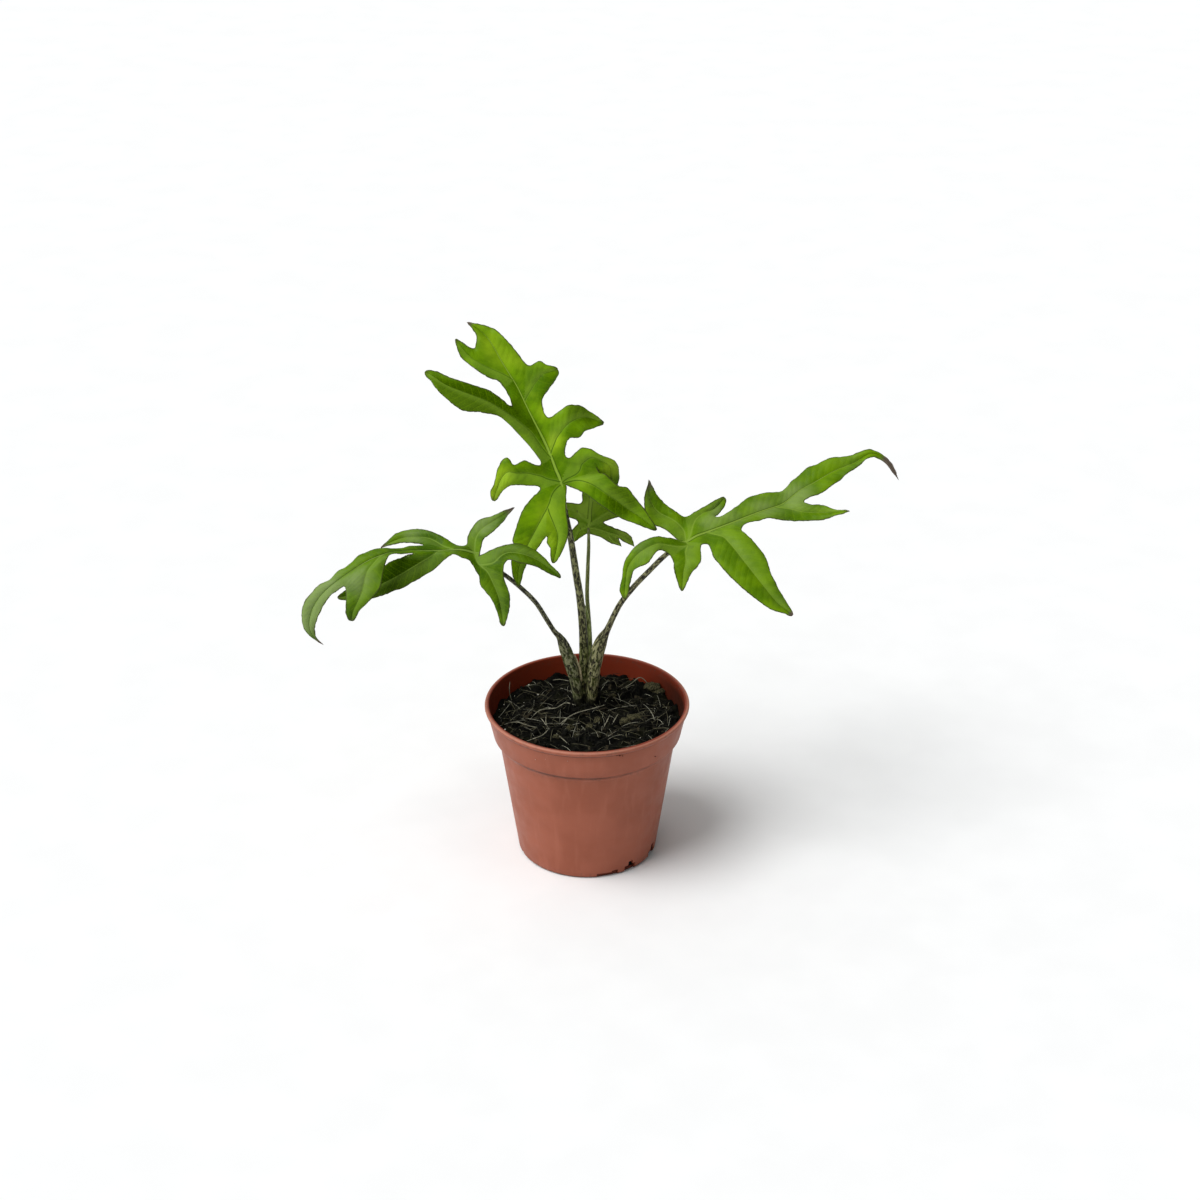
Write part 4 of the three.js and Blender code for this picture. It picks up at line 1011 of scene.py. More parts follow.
def stalk_skin(name, dark, fleck, moss):
    """Dark skin crowded with long pale flecks, mossy in patches towards the soil."""
    paint = Paint(f"stalk_{name}", {"Specular IOR Level": 0.2})
    skin = paint.attribute("skin", vector=True)
    low = paint.attribute("sheath")
    mossy = paint.maths("MULTIPLY", low, paint.ramp(paint.noise(3, 2, skin), 0.45, 0.6))
    ground = paint.mix(mossy, dark, moss)
    large = paint.maths("ADD", paint.noise(1.4, 3, skin), paint.maths("MULTIPLY", low, 0.02))
    large = paint.ramp(large, 0.53, 0.58)
    fine = paint.ramp(paint.noise(0.8, 2, skin), 0.54, 0.64, 0, 0.75)
    large = paint.maths("MULTIPLY", large, paint.ramp(low, 0, 1, 0.65, 1))
    flecks = paint.maths("MAXIMUM", large, fine)
    edges = paint.ramp(paint.cells(2.2, skin, "DISTANCE_TO_EDGE"), 0.0, 0.1, 0.22, 0)
    colour = paint.mix(paint.maths("MAXIMUM", flecks, edges), ground, fleck)
    soiled = paint.maths("ADD", paint.attribute("foot"), paint.noise(1.6))
    colour = paint.mix(paint.ramp(soiled, 0.7, 1.2, 0, 0.9), colour, srgb(22, 21, 15))
    roughness = paint.ramp(paint.noise(2), 0.3, 0.7, 0.42, 0.6)
    return paint.finish(colour, roughness, paint.noise(0.9, 2, skin), 0.2)


def sheath_skin():
    """Pale green streaks with a few dark flecks."""
    paint = Paint("sheath_flap", {"Specular IOR Level": 0.15})
    skin = paint.attribute("skin", vector=True)
    streaks = paint.ramp(paint.noise(0.9, 3, skin), 0.4, 0.6)
    colour = paint.mix(streaks, srgb(118, 134, 66), srgb(158, 168, 106))
    flecks = paint.ramp(paint.noise(1.6, 2, skin), 0.52, 0.62, 0, 0.7)
    colour = paint.mix(flecks, colour, srgb(58, 56, 30))
    return paint.finish(colour, paint.ramp(streaks, 0, 1, 0.5, 0.62), streaks, 0.1)


def dry_skin():
    """Papery straw."""
    paint = Paint("dry_sheath", {"Specular IOR Level": 0.25})
    mottle = paint.ramp(paint.noise(1.5, 3), 0.4, 0.6)
    colour = paint.mix(mottle, srgb(132, 122, 90), srgb(178, 168, 132))
    roughness = paint.ramp(paint.noise(1), 0.3, 0.7, 0.6, 0.8)
    return paint.finish(colour, roughness, paint.noise(0.6, 2), 0.08)


def pot_plastic():
    """Terracotta-coloured plastic with faint flow marks, dusty and stained in places. Painted shade darkens
    the inside and its right part is darker still; painted shadow lines run under the collar, under the rim
    bead and round the foot, and a painted highlight runs along the rim's top.
    """
    paint = Paint("pot_plastic", {"Specular IOR Level": 0.2})
    colour = paint.mix(paint.ramp(paint.noise(26), 0.35, 0.65), srgb(148, 82, 60), srgb(157, 89, 67))
    place = paint.node("VectorMath", {0: paint.place(), 1: (1, 1, 0.08)}, operation="MULTIPLY")
    flow = paint.ramp(paint.noise(5, 3, place), 0.5, 0.75, 0, 0.3)
    colour = paint.mix(flow, colour, srgb(172, 104, 82))
    # The inside painted darker and redder as shade
    colour = paint.mix(paint.attribute("inside"), colour, srgb(122, 44, 22))
    # Darker over the inside's right part
    colour = paint.mix(paint.attribute("inner_right_dark"), colour, srgb(34, 20, 13))
    blotches = paint.ramp(paint.noise(2.2, 5), 0.5, 0.68)
    stain = paint.maths("MULTIPLY", paint.attribute("dust"), blotches)
    colour = paint.mix(stain, colour, srgb(84, 62, 50))
    # Painted highlight along the rim's top
    colour = paint.mix(paint.attribute("painted_rim_highlight"), colour, srgb(198, 140, 120))
    # Painted shadow lines under the collar, under the rim bead and round the foot, patchy
    patches = paint.ramp(paint.noise(14, 4), 0.3, 0.55, 0.35, 1)
    painted_shadow_lines = paint.maths("MULTIPLY", paint.attribute("painted_shadow_lines"), patches)
    colour = paint.mix(painted_shadow_lines, colour, srgb(52, 26, 18))
    roughness = paint.ramp(paint.noise(8, 4), 0.3, 0.7, 0.4, 0.54)
    waves = paint.maths("MULTIPLY", paint.noise(9, 2), 2.5)
    return paint.finish(colour, roughness, paint.maths("ADD", paint.noise(0.7, 2), waves), 0.05)


def soil_ground():
    """Near-black peat with browner and mossier patches."""
    paint = Paint("potting_soil", {"Specular IOR Level": 0.05})
    colour = paint.mix(paint.ramp(paint.noise(1.4, 5), 0.38, 0.66), srgb(5, 6, 5), srgb(21, 20, 16))
    moss = paint.ramp(paint.noise(11, 2), 0.52, 0.66, 0, 0.55)
    colour = paint.mix(moss, colour, srgb(32, 33, 18))
    grit = paint.ramp(paint.cells(0.8), 0.0, 0.08, 0.3, 0)
    colour = paint.mix(grit, colour, srgb(58, 56, 46))
    roughness = paint.ramp(paint.noise(2), 0.3, 0.7, 0.75, 0.95)
    return paint.finish(colour, roughness, paint.noise(0.5, 5), 0.5)


def plain_grain(name, dark, light, size, roughness=0.85, relief=0.15):
    """A dry natural grain: two close colours mixed by noise, with a rough surface."""
    paint = Paint(name, {"Specular IOR Level": 0.08})
    colour = paint.mix(paint.ramp(paint.noise(size, 4), 0.36, 0.64), srgb(*dark), srgb(*light))
    rough = paint.ramp(paint.noise(size / 2), 0.3, 0.7, roughness - 0.1, roughness + 0.08)
    return paint.finish(colour, rough, paint.noise(size / 3, 3), relief)


# Leaves

# Painted shade (+) and painted light and sheen (-) patches of the blades: place from the joint, reach,
# strength
PAINTED_SHADE_AND_SHEEN = {
    "tall": [
        ((-10, 4, 18), 6, 0.8), ((-18, 8, 31), 7, 0.8), ((-26, 11, 41), 7, 0.7), ((-41, 11, 44), 10, 1.1),
        ((-55, 12, 48), 11, 0.9), ((-68, 17, 54), 8, 0.6), ((-50, 11, 41), 8, 0.7), ((9, 10, 40), 7, 0.8),
        ((18, 12, 36), 6, 0.4), ((12, 3, 17), 5, 0.4), ((34, -6, -8), 10, 1), ((30, -5, -4), 5, 0.5),
        ((46, -6, -20), 7, -0.1), ((14, -2, 2), 7, -0.4), ((-3, 6, 24), 6, -0.7), ((-10, 11, 38), 5, -0.6),
        ((-16, 15, 48), 5, -0.3), ((-32, 22, 66), 9, -0.4), ((-23, 22, 67), 6, -0.3),
        ((-40, 27, 75), 8, -0.5), ((-8, -9, -14), 8, -0.5), ((-5, -13, -29), 8, -0.5),
        ((-19, -15, -31), 6, -0.3), ((-22, -17, -42), 6, 0.2), ((-31, -3, 8), 6, -0.7),
        ((-37, -2, -5), 8, -1.6), ((-13, -1, 8), 6, 0.5), ((-10, 18, 57), 6, 0.3),
        ((-20, -12, -16), 6, 0.3), ((29, 7, 8), 7, -1.2), ((-8, 7, 18), 6, -0.7),
    ],
    "left": [
        ((-33, -6, -5), 7, 0.7), ((-44, -2, -14), 13, 1.3), ((-57, 2, -22), 14, 1.3),
        ((-69, 5, -28), 12, 1.2), ((-6, 0, 2), 6, 0.5), ((10, -12, -11), 7, 0.4), ((14, -16, -26), 8, 0.5),
        ((30, -7, 2), 8, 0.4), ((-62, -16, -10), 10, -0.7), ((-80, -16, -14), 9, -0.8),
        ((-36, 12, 4), 8, -0.5), ((6, 15, 10), 8, -0.6), ((-92, -16, -36), 9, -0.9),
        ((-92, -15, -22), 10, -1), ((17, -5, 3), 7, 0.4),
    ],
    "right": [
        ((-10, 17, 9), 8, 0.1), ((-20, 21, 20), 7, -0.1), ((14, 14, 5), 7, -0.6), ((30, 17, 7), 8, -0.4),
        ((46, 27, 9), 9, -0.7), ((35, -9, -4), 9, -0.1), ((52, -24, -23), 9, -0.2),
        ((-24, -13, 2), 8, -0.4), ((66, 38, 11), 10, -1), ((20, 25, 8), 7, -0.7), ((80, 48, 20), 8, 0.1),
        ((96, 55, 25), 8, -0.3), ((79, 27, 6), 7, 0.3), ((3, -7, -2), 5, -0.2), ((-1, -17, -10), 6, 0.3),
    ],
    "back": [
        ((12, 4, 2), 7, 0.4), ((-4, 2, 8), 6, -0.5), ((20, 6, -9), 8, -0.8), ((1, 2, 14), 8, -0.3),
    ],
}
# Tips that have gone purplish grey
DRY_TIPS = {
    "tall": [((-52.5, 35.5, 83.5), 4, 0.8)],
    "left": [((22, 23, 17.5), 7, 0.8), ((-87, -10, -53.5), 9, 0.8), ((-54, 13, -3.5), 6, 0.6)],
    "right": [
        ((127, 58, 13), 9, 1.2), ((121, 60, 24), 6, 0.9), ((-21, 23, 29), 8, 0.7), ((60, -29, -31.5), 3, 0.8),
    ],
    "back": [((26.5, 7, -16), 4, 0.8)],
}


def soft_patches(name, points, patches):
    """How strongly the patches of a blade show at each point, from -1 to 1."""
    total = np.zeros(len(points))
    for place, reach, strength in patches[name]:
        away = np.linalg.norm(points - np.add(LEAVES[name]["joint"], place), axis=1)
        total += strength * bell(away, 0, reach)
    return np.clip(total, -1, 1)


def quilting(sheet):
    """How far each point swells between the side veins, from 0 to 1."""
    corners = np.concatenate([np.array(face) for face in sheet.faces])
    phase = np.concatenate([np.array(values) for values in sheet.phases])
    swell = 0.5 + 0.5 * np.cos(2 * np.pi * phase)
    total = np.bincount(corners, swell, len(sheet.points))
    return total / np.maximum(np.bincount(corners, minlength=len(sheet.points)), 1)


def blade_surface(name, sheet, rib, rib_width, edge):
    """The middle surface with low waves, a fold along each rib, quilting and a finely ruffled margin."""
    leaf, points = LEAVES[name], sheet.points
    height = wave_height(leaf, points, sheet.margins)
    calm = smoothstep(6, 25, np.linalg.norm(points - leaf["joint"], axis=1))
    inner = smoothstep(0.3, 3, edge) * smoothstep(0.6, 2.5, rib)
    height = height + QUILTING * quilting(sheet) * inner * calm
    height = height + RUFFLE * noise_at(points, 6, 3, 2) * (1 - smoothstep(0, 3, edge)) * calm
    height = height - GROOVE * bell(rib, 0, 1.2 * rib_width) * calm
    height = height - FOLD * np.exp(-rib / 4) * calm * smoothstep(0, 6, edge)
    return points + sheet.normals() * height[:, None]


def edge_distance(sheet):
    """How far each point lies from the outline."""
    ends = np.array(sheet.border)
    start, end = sheet.points[ends[:, 0]], sheet.points[ends[:, 1]]
    line = np.vstack([start * (1 - t) + end * t for t in (0, 0.34, 0.67)])
    return nearest(line, sheet.points)[0]


def tip_distance(sheet):
    """How far each point lies from the nearest tip."""
    last_rows = [len(strip["rib"]) - 2 for strip in sheet.strips]
    tips = [sheet.grids[(k, "left", row)][-1, -1] for k, row in enumerate(last_rows)]
    return nearest(sheet.points[tips], sheet.points)[0]


def rim_line(sheet, normals):
    """The numbers of the outline's points, and a finely ragged line just outside them."""
    points = sheet.points
    outward = np.zeros_like(points)
    for a, b in sheet.border:
        for end in (a, b):
            outward[end] += unit(np.cross(points[b] - points[a], normals[end]))
    ids = np.flatnonzero(sheet.on_border)
    ragged = 0.3 + 0.28 * noise_at(points[ids], 2.5, 8, 3)
    return ids, points[ids] + unit(outward[ids]) * np.maximum(ragged, 0.1)[:, None]


def closed_faces(sheet, border_ids):
    """The faces of the top, of the underside and of the rim between them, and a slot for each."""
    count = len(sheet.points)
    rim_of = {vertex: 2 * count + i for i, vertex in enumerate(border_ids)}
    faces = sheet.faces + [[count + v for v in face[::-1]] for face in sheet.faces]
    slots = [0] * len(sheet.faces) + [1] * len(sheet.faces)
    for a, b in sheet.border:
        faces += [[b, a, rim_of[a], rim_of[b]], [rim_of[b], rim_of[a], count + a, count + b]]
        slots += [0, 1]
    return faces, slots


def blade_mesh(name):
    """A thin closed blade, thicker along its ribs, with what its two materials read from it."""
    leaf = LEAVES[name]
    sheet = Sheet(leaf, CELLS[name])
    sheet.relax(SURFACE_SMOOTHING)
    ribs, widths, directions, is_side = rib_lines(sheet)
    rib, place = nearest(ribs, sheet.points)
    rib_width = widths[place]
    ratios, side_ribs = corner_ratios(sheet, ribs, widths, directions, is_side)
    edge, tip = edge_distance(sheet), tip_distance(sheet)
    sheet.points = middle = blade_surface(name, sheet, rib, rib_width, edge)
    normals = sheet.normals()
    margin_half = MARGIN_THICKNESS / 2
    half = margin_half + (BLADE_THICKNESS / 2 - margin_half) * smoothstep(0, 2, edge)
    reach = np.linalg.norm(middle - leaf["joint"], axis=1) / LEAF_LENGTH
    ridge = RIDGE * bell(rib, 0, 1.1 * rib_width) * np.clip(1 - reach, 0.2, 1)
    ridge = ridge * smoothstep(0.2, 2, edge)
    upper = middle + normals * half[:, None]
    lower = middle - normals * (half + ridge)[:, None]
    border_ids, rim = rim_line(sheet, normals)
    faces, slots = closed_faces(sheet, border_ids)
    # Painted shade and sheen patches, and the dry tips
    shade_and_sheen, dry = [soft_patches(name, middle, patches) for patches in (PAINTED_SHADE_AND_SHEEN, DRY_TIPS)]
    measures = {"edge": edge, "tip": tip, "shade_and_sheen": shade_and_sheen, "dry": dry}
    attributes = {
        key: np.concatenate([values, values, values[border_ids]]) for key, values in measures.items()
    }
    materials = [leaf_top(name), leaf_underside(name)]
    points = np.vstack([upper, lower, rim])
    piece = make_object(f"leaf_{name}", points, faces, materials, attributes, slots)
    on_rim = {"vein": 0.0, "rib": FAR_FROM_RIB, "side_rib": 0.0}
    for key, values in {"vein": sheet.phases, "rib": ratios, "side_rib": side_ribs}.items():
        values = values + [face[::-1] for face in values]
        values += [[on_rim[key]] * 4] * (2 * len(sheet.border))
        add_layer(piece.data, key, np.concatenate(values), "CORNER")
    return piece


# Stalks


def smooth_line(points, steps):
    """A curve through points (Catmull-Rom with even weight for uneven spacing)."""
    points = np.asarray(points, float)
    padded = np.vstack([2 * points[0] - points[1], points, 2 * points[-1] - points[-2]])
    line = []
    for i in range(len(points) - 1):
        p = padded[i : i + 4]
        gaps = np.sqrt(np.maximum(np.linalg.norm(np.diff(p[:, :3], axis=0), axis=1), 1e-6))
        knots = np.concatenate([[0], np.cumsum(gaps)])
        for t in np.linspace(knots[1], knots[2], steps, endpoint=False):
            a = [p[k] + (p[k + 1] - p[k]) * (t - knots[k]) / (knots[k + 1] - knots[k]) for k in range(3)]
            b = [a[k] + (a[k + 1] - a[k]) * (t - knots[k]) / (knots[k + 2] - knots[k]) for k in range(2)]
            line.append(b[0] + (b[1] - b[0]) * (t - knots[1]) / (knots[2] - knots[1]))
    return np.array(line + [points[-1]])


def frames_along(line):
    """Directions along, to the side and to the front at each point of a line."""
    along = unit(np.gradient(line, axis=0))
    side = unit(np.cross([0.0, 1.0, 0.0], along))
    return along, side, np.cross(along, side)


def tube(line, radii, sides, shape=None):
    """Points and faces of a closed tube. shape(angle, step) scales the radius."""
    _, side, front = frames_along(line)
    angles = np.arange(sides) / sides * 2 * np.pi
    points = []
    for i, centre in enumerate(line):
        scale = np.array([shape(a, i) if shape else 1.0 for a in angles])
        ring = np.cos(angles)[:, None] * side[i] + np.sin(angles)[:, None] * front[i]
        points.append(centre + ring * (radii[i] * scale)[:, None])
    faces = []
    for i in range(len(line) - 1):
        for k in range(sides):
            a, b = i * sides + k, i * sides + (k + 1) % sides
            faces.append([a, b, b + sides, a + sides])
    faces.append(list(range(sides))[::-1])
    faces.append([(len(line) - 1) * sides + k for k in range(sides)])
    return np.vstack(points), faces


def skin_place(line, points, sides):
    """Each point's place on the skin: across it in two directions, and along the stalk."""
    centre = np.repeat(line, sides, axis=0)
    _, side, front = frames_along(line)
    offset = points[: len(centre)] - centre
    u = np.sum(offset * np.repeat(side, sides, axis=0), axis=1)
    v = np.sum(offset * np.repeat(front, sides, axis=0), axis=1)
    return np.stack([u, v, np.repeat(run_along(line), sides) * SPOT_STRETCH], 1) / 1000


# Skin, flecks, mossy patches
STALK_PAINT = {
    "tall": (srgb(38, 36, 20), srgb(154, 156, 106), srgb(66, 78, 22)),
    "left": (srgb(34, 32, 20), srgb(144, 146, 110), srgb(60, 70, 20)),
    "right": (srgb(34, 31, 20), srgb(156, 154, 112), srgb(62, 70, 22)),
    "back": (srgb(84, 94, 44), srgb(138, 144, 88), srgb(84, 92, 40)),
}
SHEATH_TOP = {"tall": 128, "left": 134, "right": 134, "back": 100}
STALK_SIDES = 20
# Places on a stalk's skin are shortened by this, so that its spots come out long
SPOT_STRETCH = 0.36


def stalk_piece(name):
    """A stalk runs from below the soil into its blade. It is faintly ribbed, and lumpy in its sheath."""
    rows = np.array(STALKS[name])
    joint = np.array(LEAVES[name]["joint"], float)
    rows[-1, :3] = rows[-1, :3] + (joint - rows[-1, :3]) * 0.75
    rows[-1, 3] = 0.7
    fine = smooth_line(rows, 14)
    line, radii = fine[:, :3], fine[:, 3]
    height = line[:, 2]
    sheath = smoothstep(SHEATH_TOP[name] + 4, SHEATH_TOP[name] - 10, height)
    lumps = noise_at(line, 5, 7, 2)

    def shape(angle, i):
        ribs = 0.035 * math.cos(5 * angle + 0.05 * height[i])
        folds = 0.1 * math.cos(2 * angle + 0.09 * height[i]) * sheath[i]
        place = Vector((*around(2.4, angle), 0.35 * height[i]))
        fray = 0.05 * noise.noise(place) * sheath[i]
        return 1 + ribs + folds + fray + 0.05 * lumps[i] * (0.4 + sheath[i])

    points, faces = tube(line, radii, STALK_SIDES, shape)
    attributes = {
        "skin": skin_place(line, points, STALK_SIDES),
        "sheath": np.repeat(sheath, STALK_SIDES),
        "foot": np.repeat(smoothstep(99, 88, height), STALK_SIDES),
    }
    skin = stalk_skin(name, *STALK_PAINT[name])
    return make_object(f"stalk_{name}", points, faces, [skin], attributes)


def thin_strip(rows, across):
    """Faces of a closed strip whose points are the rows of its outside and then those of its inside."""
    count = rows * across
    last = count - across
    faces, border = [], []
    for i in range(rows - 1):
        for k in range(across - 1):
            a = i * across + k
            face = [a, a + 1, a + across + 1, a + across]
            faces += [face, [count + v for v in face[::-1]]]
        border += [(i * across, (i + 1) * across), ((i + 2) * across - 1, (i + 1) * across - 1)]
    border += [(k + 1, k) for k in range(across - 1)]
    border += [(last + k, last + k + 1) for k in range(across - 1)]
    return faces + [[a, b, count + b, count + a] for a, b in border]


def flap_piece(name, rows, turn, spread, material):
    """A sheath flap: a thin curved strip round a centre line, as wide as its radii say, pointed on top."""
    fine = smooth_line(np.array(rows, float), 10)
    line, radii = fine[:, :3], fine[:, 3]
    _, side, front = frames_along(line)
    points = []
    for lift in (FLAP_OUTSIDE, FLAP_INSIDE):
        for i, centre in enumerate(line):
            narrow = spread * min(1, 3.2 * (1 - i / (len(line) - 1)) + 0.02)
            for k in range(FLAP_POINTS):
                angle = math.radians(turn + narrow * (k / (FLAP_POINTS - 1) - 0.5))
                away = math.cos(angle) * side[i] + math.sin(angle) * front[i]
                points.append(centre + away * (radii[i] + lift))
    points = np.array(points)
    skin = np.stack([points[:, 0], points[:, 1], points[:, 2] * 0.3], 1) / 1000
    return make_object(name, points, thin_strip(len(line), FLAP_POINTS), [material], {"skin": skin})


# Pot

POT_OUTSIDE = [
    (BASE_RADIUS - 1, 0),
    (BASE_RADIUS + 0.2, 1.3),
    (SHOULDER_RADIUS, SHOULDER_HEIGHT),
    (SHOULDER_RADIUS + 0.8, SHOULDER_HEIGHT + 2),
    (COLLAR_BOTTOM_RADIUS, SHOULDER_HEIGHT + 4.5),
    (COLLAR_TOP_RADIUS, POT_HEIGHT - 3.5),
    (RIM_RADIUS - 0.6, POT_HEIGHT - 2.5),
    (RIM_RADIUS, POT_HEIGHT - 1),
    (RIM_RADIUS - 0.4, POT_HEIGHT),
]
POT_INSIDE = [
    (COLLAR_TOP_RADIUS - POT_WALL + 0.3, POT_HEIGHT),
    (COLLAR_BOTTOM_RADIUS - POT_WALL, SHOULDER_HEIGHT + 5.2),
    (SHOULDER_RADIUS - POT_WALL + 0.7, SHOULDER_HEIGHT + 2.6),
    (SHOULDER_RADIUS - POT_WALL, SHOULDER_HEIGHT + 0.4),
    (BASE_RADIUS - POT_WALL, POT_FLOOR),
]


def rounded(profile, reach):
    """Corners cut back by a short reach and curved, so that the light runs over them."""
    profile = np.array(profile, float)
    points = [profile[0]]
    for before, corner, after in zip(profile, profile[1:], profile[2:]):
        cut = [min(reach, 0.42 * np.linalg.norm(other - corner)) for other in (before, after)]
        start = corner + unit(before - corner) * cut[0]
        end = corner + unit(after - corner) * cut[1]
        for t in np.linspace(0, 1, 6):
            points.append(start * (1 - t) ** 2 + corner * 2 * t * (1 - t) + end * t**2)
    return np.array(points + [profile[-1]])


def spread_out(profile, step):
    """More points along the long stretches of a profile."""
    points = [profile[0]]
    for a, b in zip(profile, profile[1:]):
        pieces = max(1, int(np.linalg.norm(b - a) / step))
        points += [a + (b - a) * k / pieces for k in range(1, pieces + 1)]
    return np.array(points)


def wall_ripple(angle, z):
    """The moulded wall is not quite round: a few tenths of a millimetre."""
    return 0.16 * math.sin(2 * angle + 0.7) + 0.07 * math.sin(5 * angle + 0.03 * z)


def lathe(profile, segments):
    """A closed turned body whose profile starts and ends on the axis."""
    points, faces = [(0, 0, profile[0][1])], []
    inner = profile[1:-1]
    for radius, z in inner:
        for k in range(segments):
            angle = 2 * math.pi * k / segments
            rippled = radius + wall_ripple(angle, z) * min(1, z / 20)
            points.append((*around(rippled, angle), z))
    points.append((0, 0, profile[-1][1]))
    last = len(points) - 1
    for k in range(segments):
        after = (k + 1) % segments
        faces.append([0, 1 + after, 1 + k])
        top = 1 + (len(inner) - 1) * segments
        faces.append([last, top + k, top + after])
        for i in range(len(inner) - 1):
            a, b = 1 + i * segments + k, 1 + i * segments + after
            faces.append([a, b, b + segments, a + segments])
    return np.array(points), faces


def box_mesh(name, size, turn, centre):
    points = [(x, y, z) for x in (-0.5, 0.5) for y in (-0.5, 0.5) for z in (-0.5, 0.5)]
    placed = [np.add((*turned(x, y, turn), z), centre) for x, y, z in np.array(points) * size]
    faces = [[0, 1, 3, 2], [4, 6, 7, 5], [0, 4, 5, 1], [2, 3, 7, 6], [0, 2, 6, 4], [1, 5, 7, 3]]
    return make_object(name, placed, faces, [], smooth=False)


def cut(piece, cutter):
    """Takes the cutter's shape out of a piece."""
    modifier = piece.modifiers.new("cut", "BOOLEAN")
    modifier.operation = "DIFFERENCE"
    modifier.solver = "EXACT"
    modifier.object = cutter
    bpy.context.view_layer.update()
    shaped = bpy.data.meshes.new_from_object(piece.evaluated_get(bpy.context.evaluated_depsgraph_get()))
    piece.modifiers.remove(modifier)
    piece.data = shaped
    bpy.data.objects.remove(cutter)


def pot_piece():
    profile = [(0, 0)] + POT_OUTSIDE + POT_INSIDE + [(0, POT_FLOOR)]
    points, faces = lathe(spread_out(rounded(profile, POT_ROUNDING), POT_STEP), POT_SEGMENTS)
    piece = make_object("pot_shell", points, faces, [pot_plastic()])
    for angle, width, height in FOOT_NOTCHES:
        centre = (*from_front(BASE_RADIUS + 1.5, angle), 0)
        cut(piece, box_mesh("notch", (width, NOTCH_DEPTH, 2 * height), math.radians(angle), centre))
    piece.data.set_sharp_from_angle(angle=math.radians(50))
    paint_pot(piece.data)
    return piece


def outside_radius(z):
    """The radius of the pot's outside at a height."""
    return np.interp(z, [height for _, height in POT_OUTSIDE], [radius for radius, _ in POT_OUTSIDE])


def paint_pot(mesh):
    """Marks the inside, which is painted darker as shade, and its darker right part, dust on the outside,
    painted shadow lines under the collar, under the rim bead and round the foot, and a painted highlight
    along the rim's top.
    """
    place = np.zeros(len(mesh.vertices) * 3)
    mesh.vertices.foreach_get("co", place)
    place = place.reshape(-1, 3) * 1000
    radius, z = np.hypot(place[:, 0], place[:, 1]), place[:, 2]
    right, front = (place[:, :2] * (1, -1) / np.maximum(radius, 1)[:, None]).T
    inside = smoothstep(0.45, 0.8, outside_radius(z) - radius) * (z > 0.4)
    dust = smoothstep(POT_HEIGHT - 5, POT_HEIGHT, z) * 0.55 + smoothstep(6, 0, z) * 0.5
    dust = dust + 0.5 * bell(z, SHOULDER_HEIGHT + 2, 2.5)
    # Painted shadow lines: under the collar step and strongest in front, under the rim bead, and round the
    # foot
    collar_shadow_line = (0.25 + 0.75 * smoothstep(0.5, 0.8, front)) * bell(z, SHOULDER_HEIGHT + 2.9, 1.3)
    painted_shadow_lines = collar_shadow_line + 0.7 * bell(z, POT_HEIGHT - 3.3, 0.5)
    painted_shadow_lines = painted_shadow_lines * (1 - inside) + 0.9 * bell(z, 0, 0.9)
    # Painted highlight along the rim's top
    painted_rim_highlight = 0.45 * smoothstep(POT_HEIGHT - 1.1, POT_HEIGHT - 0.4, z) * (1 - inside)
    # Darker over the inside's right part, below the rim's top
    inner_right_dark = 0.85 * inside * smoothstep(0.55, 1, right) * smoothstep(97, 93, z)
    marks = {"inside": inside, "dust": dust, "painted_shadow_lines": painted_shadow_lines, "painted_rim_highlight": painted_rim_highlight, "inner_right_dark": inner_right_dark}
    for key, values in marks.items():
        add_layer(mesh, key, values)


# Soil


def soil_height(x, y):
    dx, dy = x - STEM_SPOT[0], y - STEM_SPOT[1]
    mound = SOIL_MOUND * math.exp(-(dx * dx + dy * dy) / 350)
    lumps = math.sin(0.31 * x + 1.2) * math.sin(0.27 * y + 0.4) + 0.6 * math.sin(0.63 * x - 0.5 * y)
    return SOIL_LEVEL + mound + SOIL_ROUGHNESS * lumps


def wall_radius(z):
    """The inner radius of the collar."""
    low, high = POT_INSIDE[1], POT_INSIDE[0]
    return low[0] + (high[0] - low[0]) * (z - low[1]) / (high[1] - low[1])


def ground(x, y):
    """The soil's surface with its clods and crumbs, and a hollow before the stems."""
    z = soil_height(x, y)
    clods = noise.fractal(Vector((x, y, 3.0)) / 5.5, 1.0, 2.0, 3)
    crumbs = noise.fractal(Vector((x, y, 9.0)) / 1.7, 1.0, 2.2, 3)
    hollow = HOLLOW_DEPTH * math.exp(-((x - HOLLOW_SPOT[0]) ** 2 + (y - HOLLOW_SPOT[1]) ** 2) / 40)
    return z + 1.8 * clods + 0.85 * abs(crumbs) - 0.3 - hollow


def soil_piece():
    """A dense clodded top that meets the wall, closed by a plain side and bottom."""
    angles = [2 * math.pi * k / SOIL_SPOKES for k in range(SOIL_SPOKES)]
    points = [(0, 0, ground(0, 0))]
    for ring in range(1, SOIL_RINGS + 1):
        radius = ring / SOIL_RINGS * (wall_radius(SOIL_LEVEL) - 0.2)
        spots = [around(radius, angle) for angle in angles]
        points += [(x, y, ground(x, y)) for x, y in spots]
    for radius, z in SOIL_SIDE:
        points += [(*around(radius, angle), z) for angle in angles]
    faces = []
    for k in range(SOIL_SPOKES):
        after = (k + 1) % SOIL_SPOKES
        faces.append([0, 1 + k, 1 + after])
        for ring in range(SOIL_RINGS + len(SOIL_SIDE) - 1):
            a, b = 1 + ring * SOIL_SPOKES + k, 1 + ring * SOIL_SPOKES + after
            faces.append([a, a + SOIL_SPOKES, b + SOIL_SPOKES, b])
    faces.append(list(range(len(points) - SOIL_SPOKES, len(points)))[::-1])
    return make_object("soil_ground", points, faces, [soil_ground()])


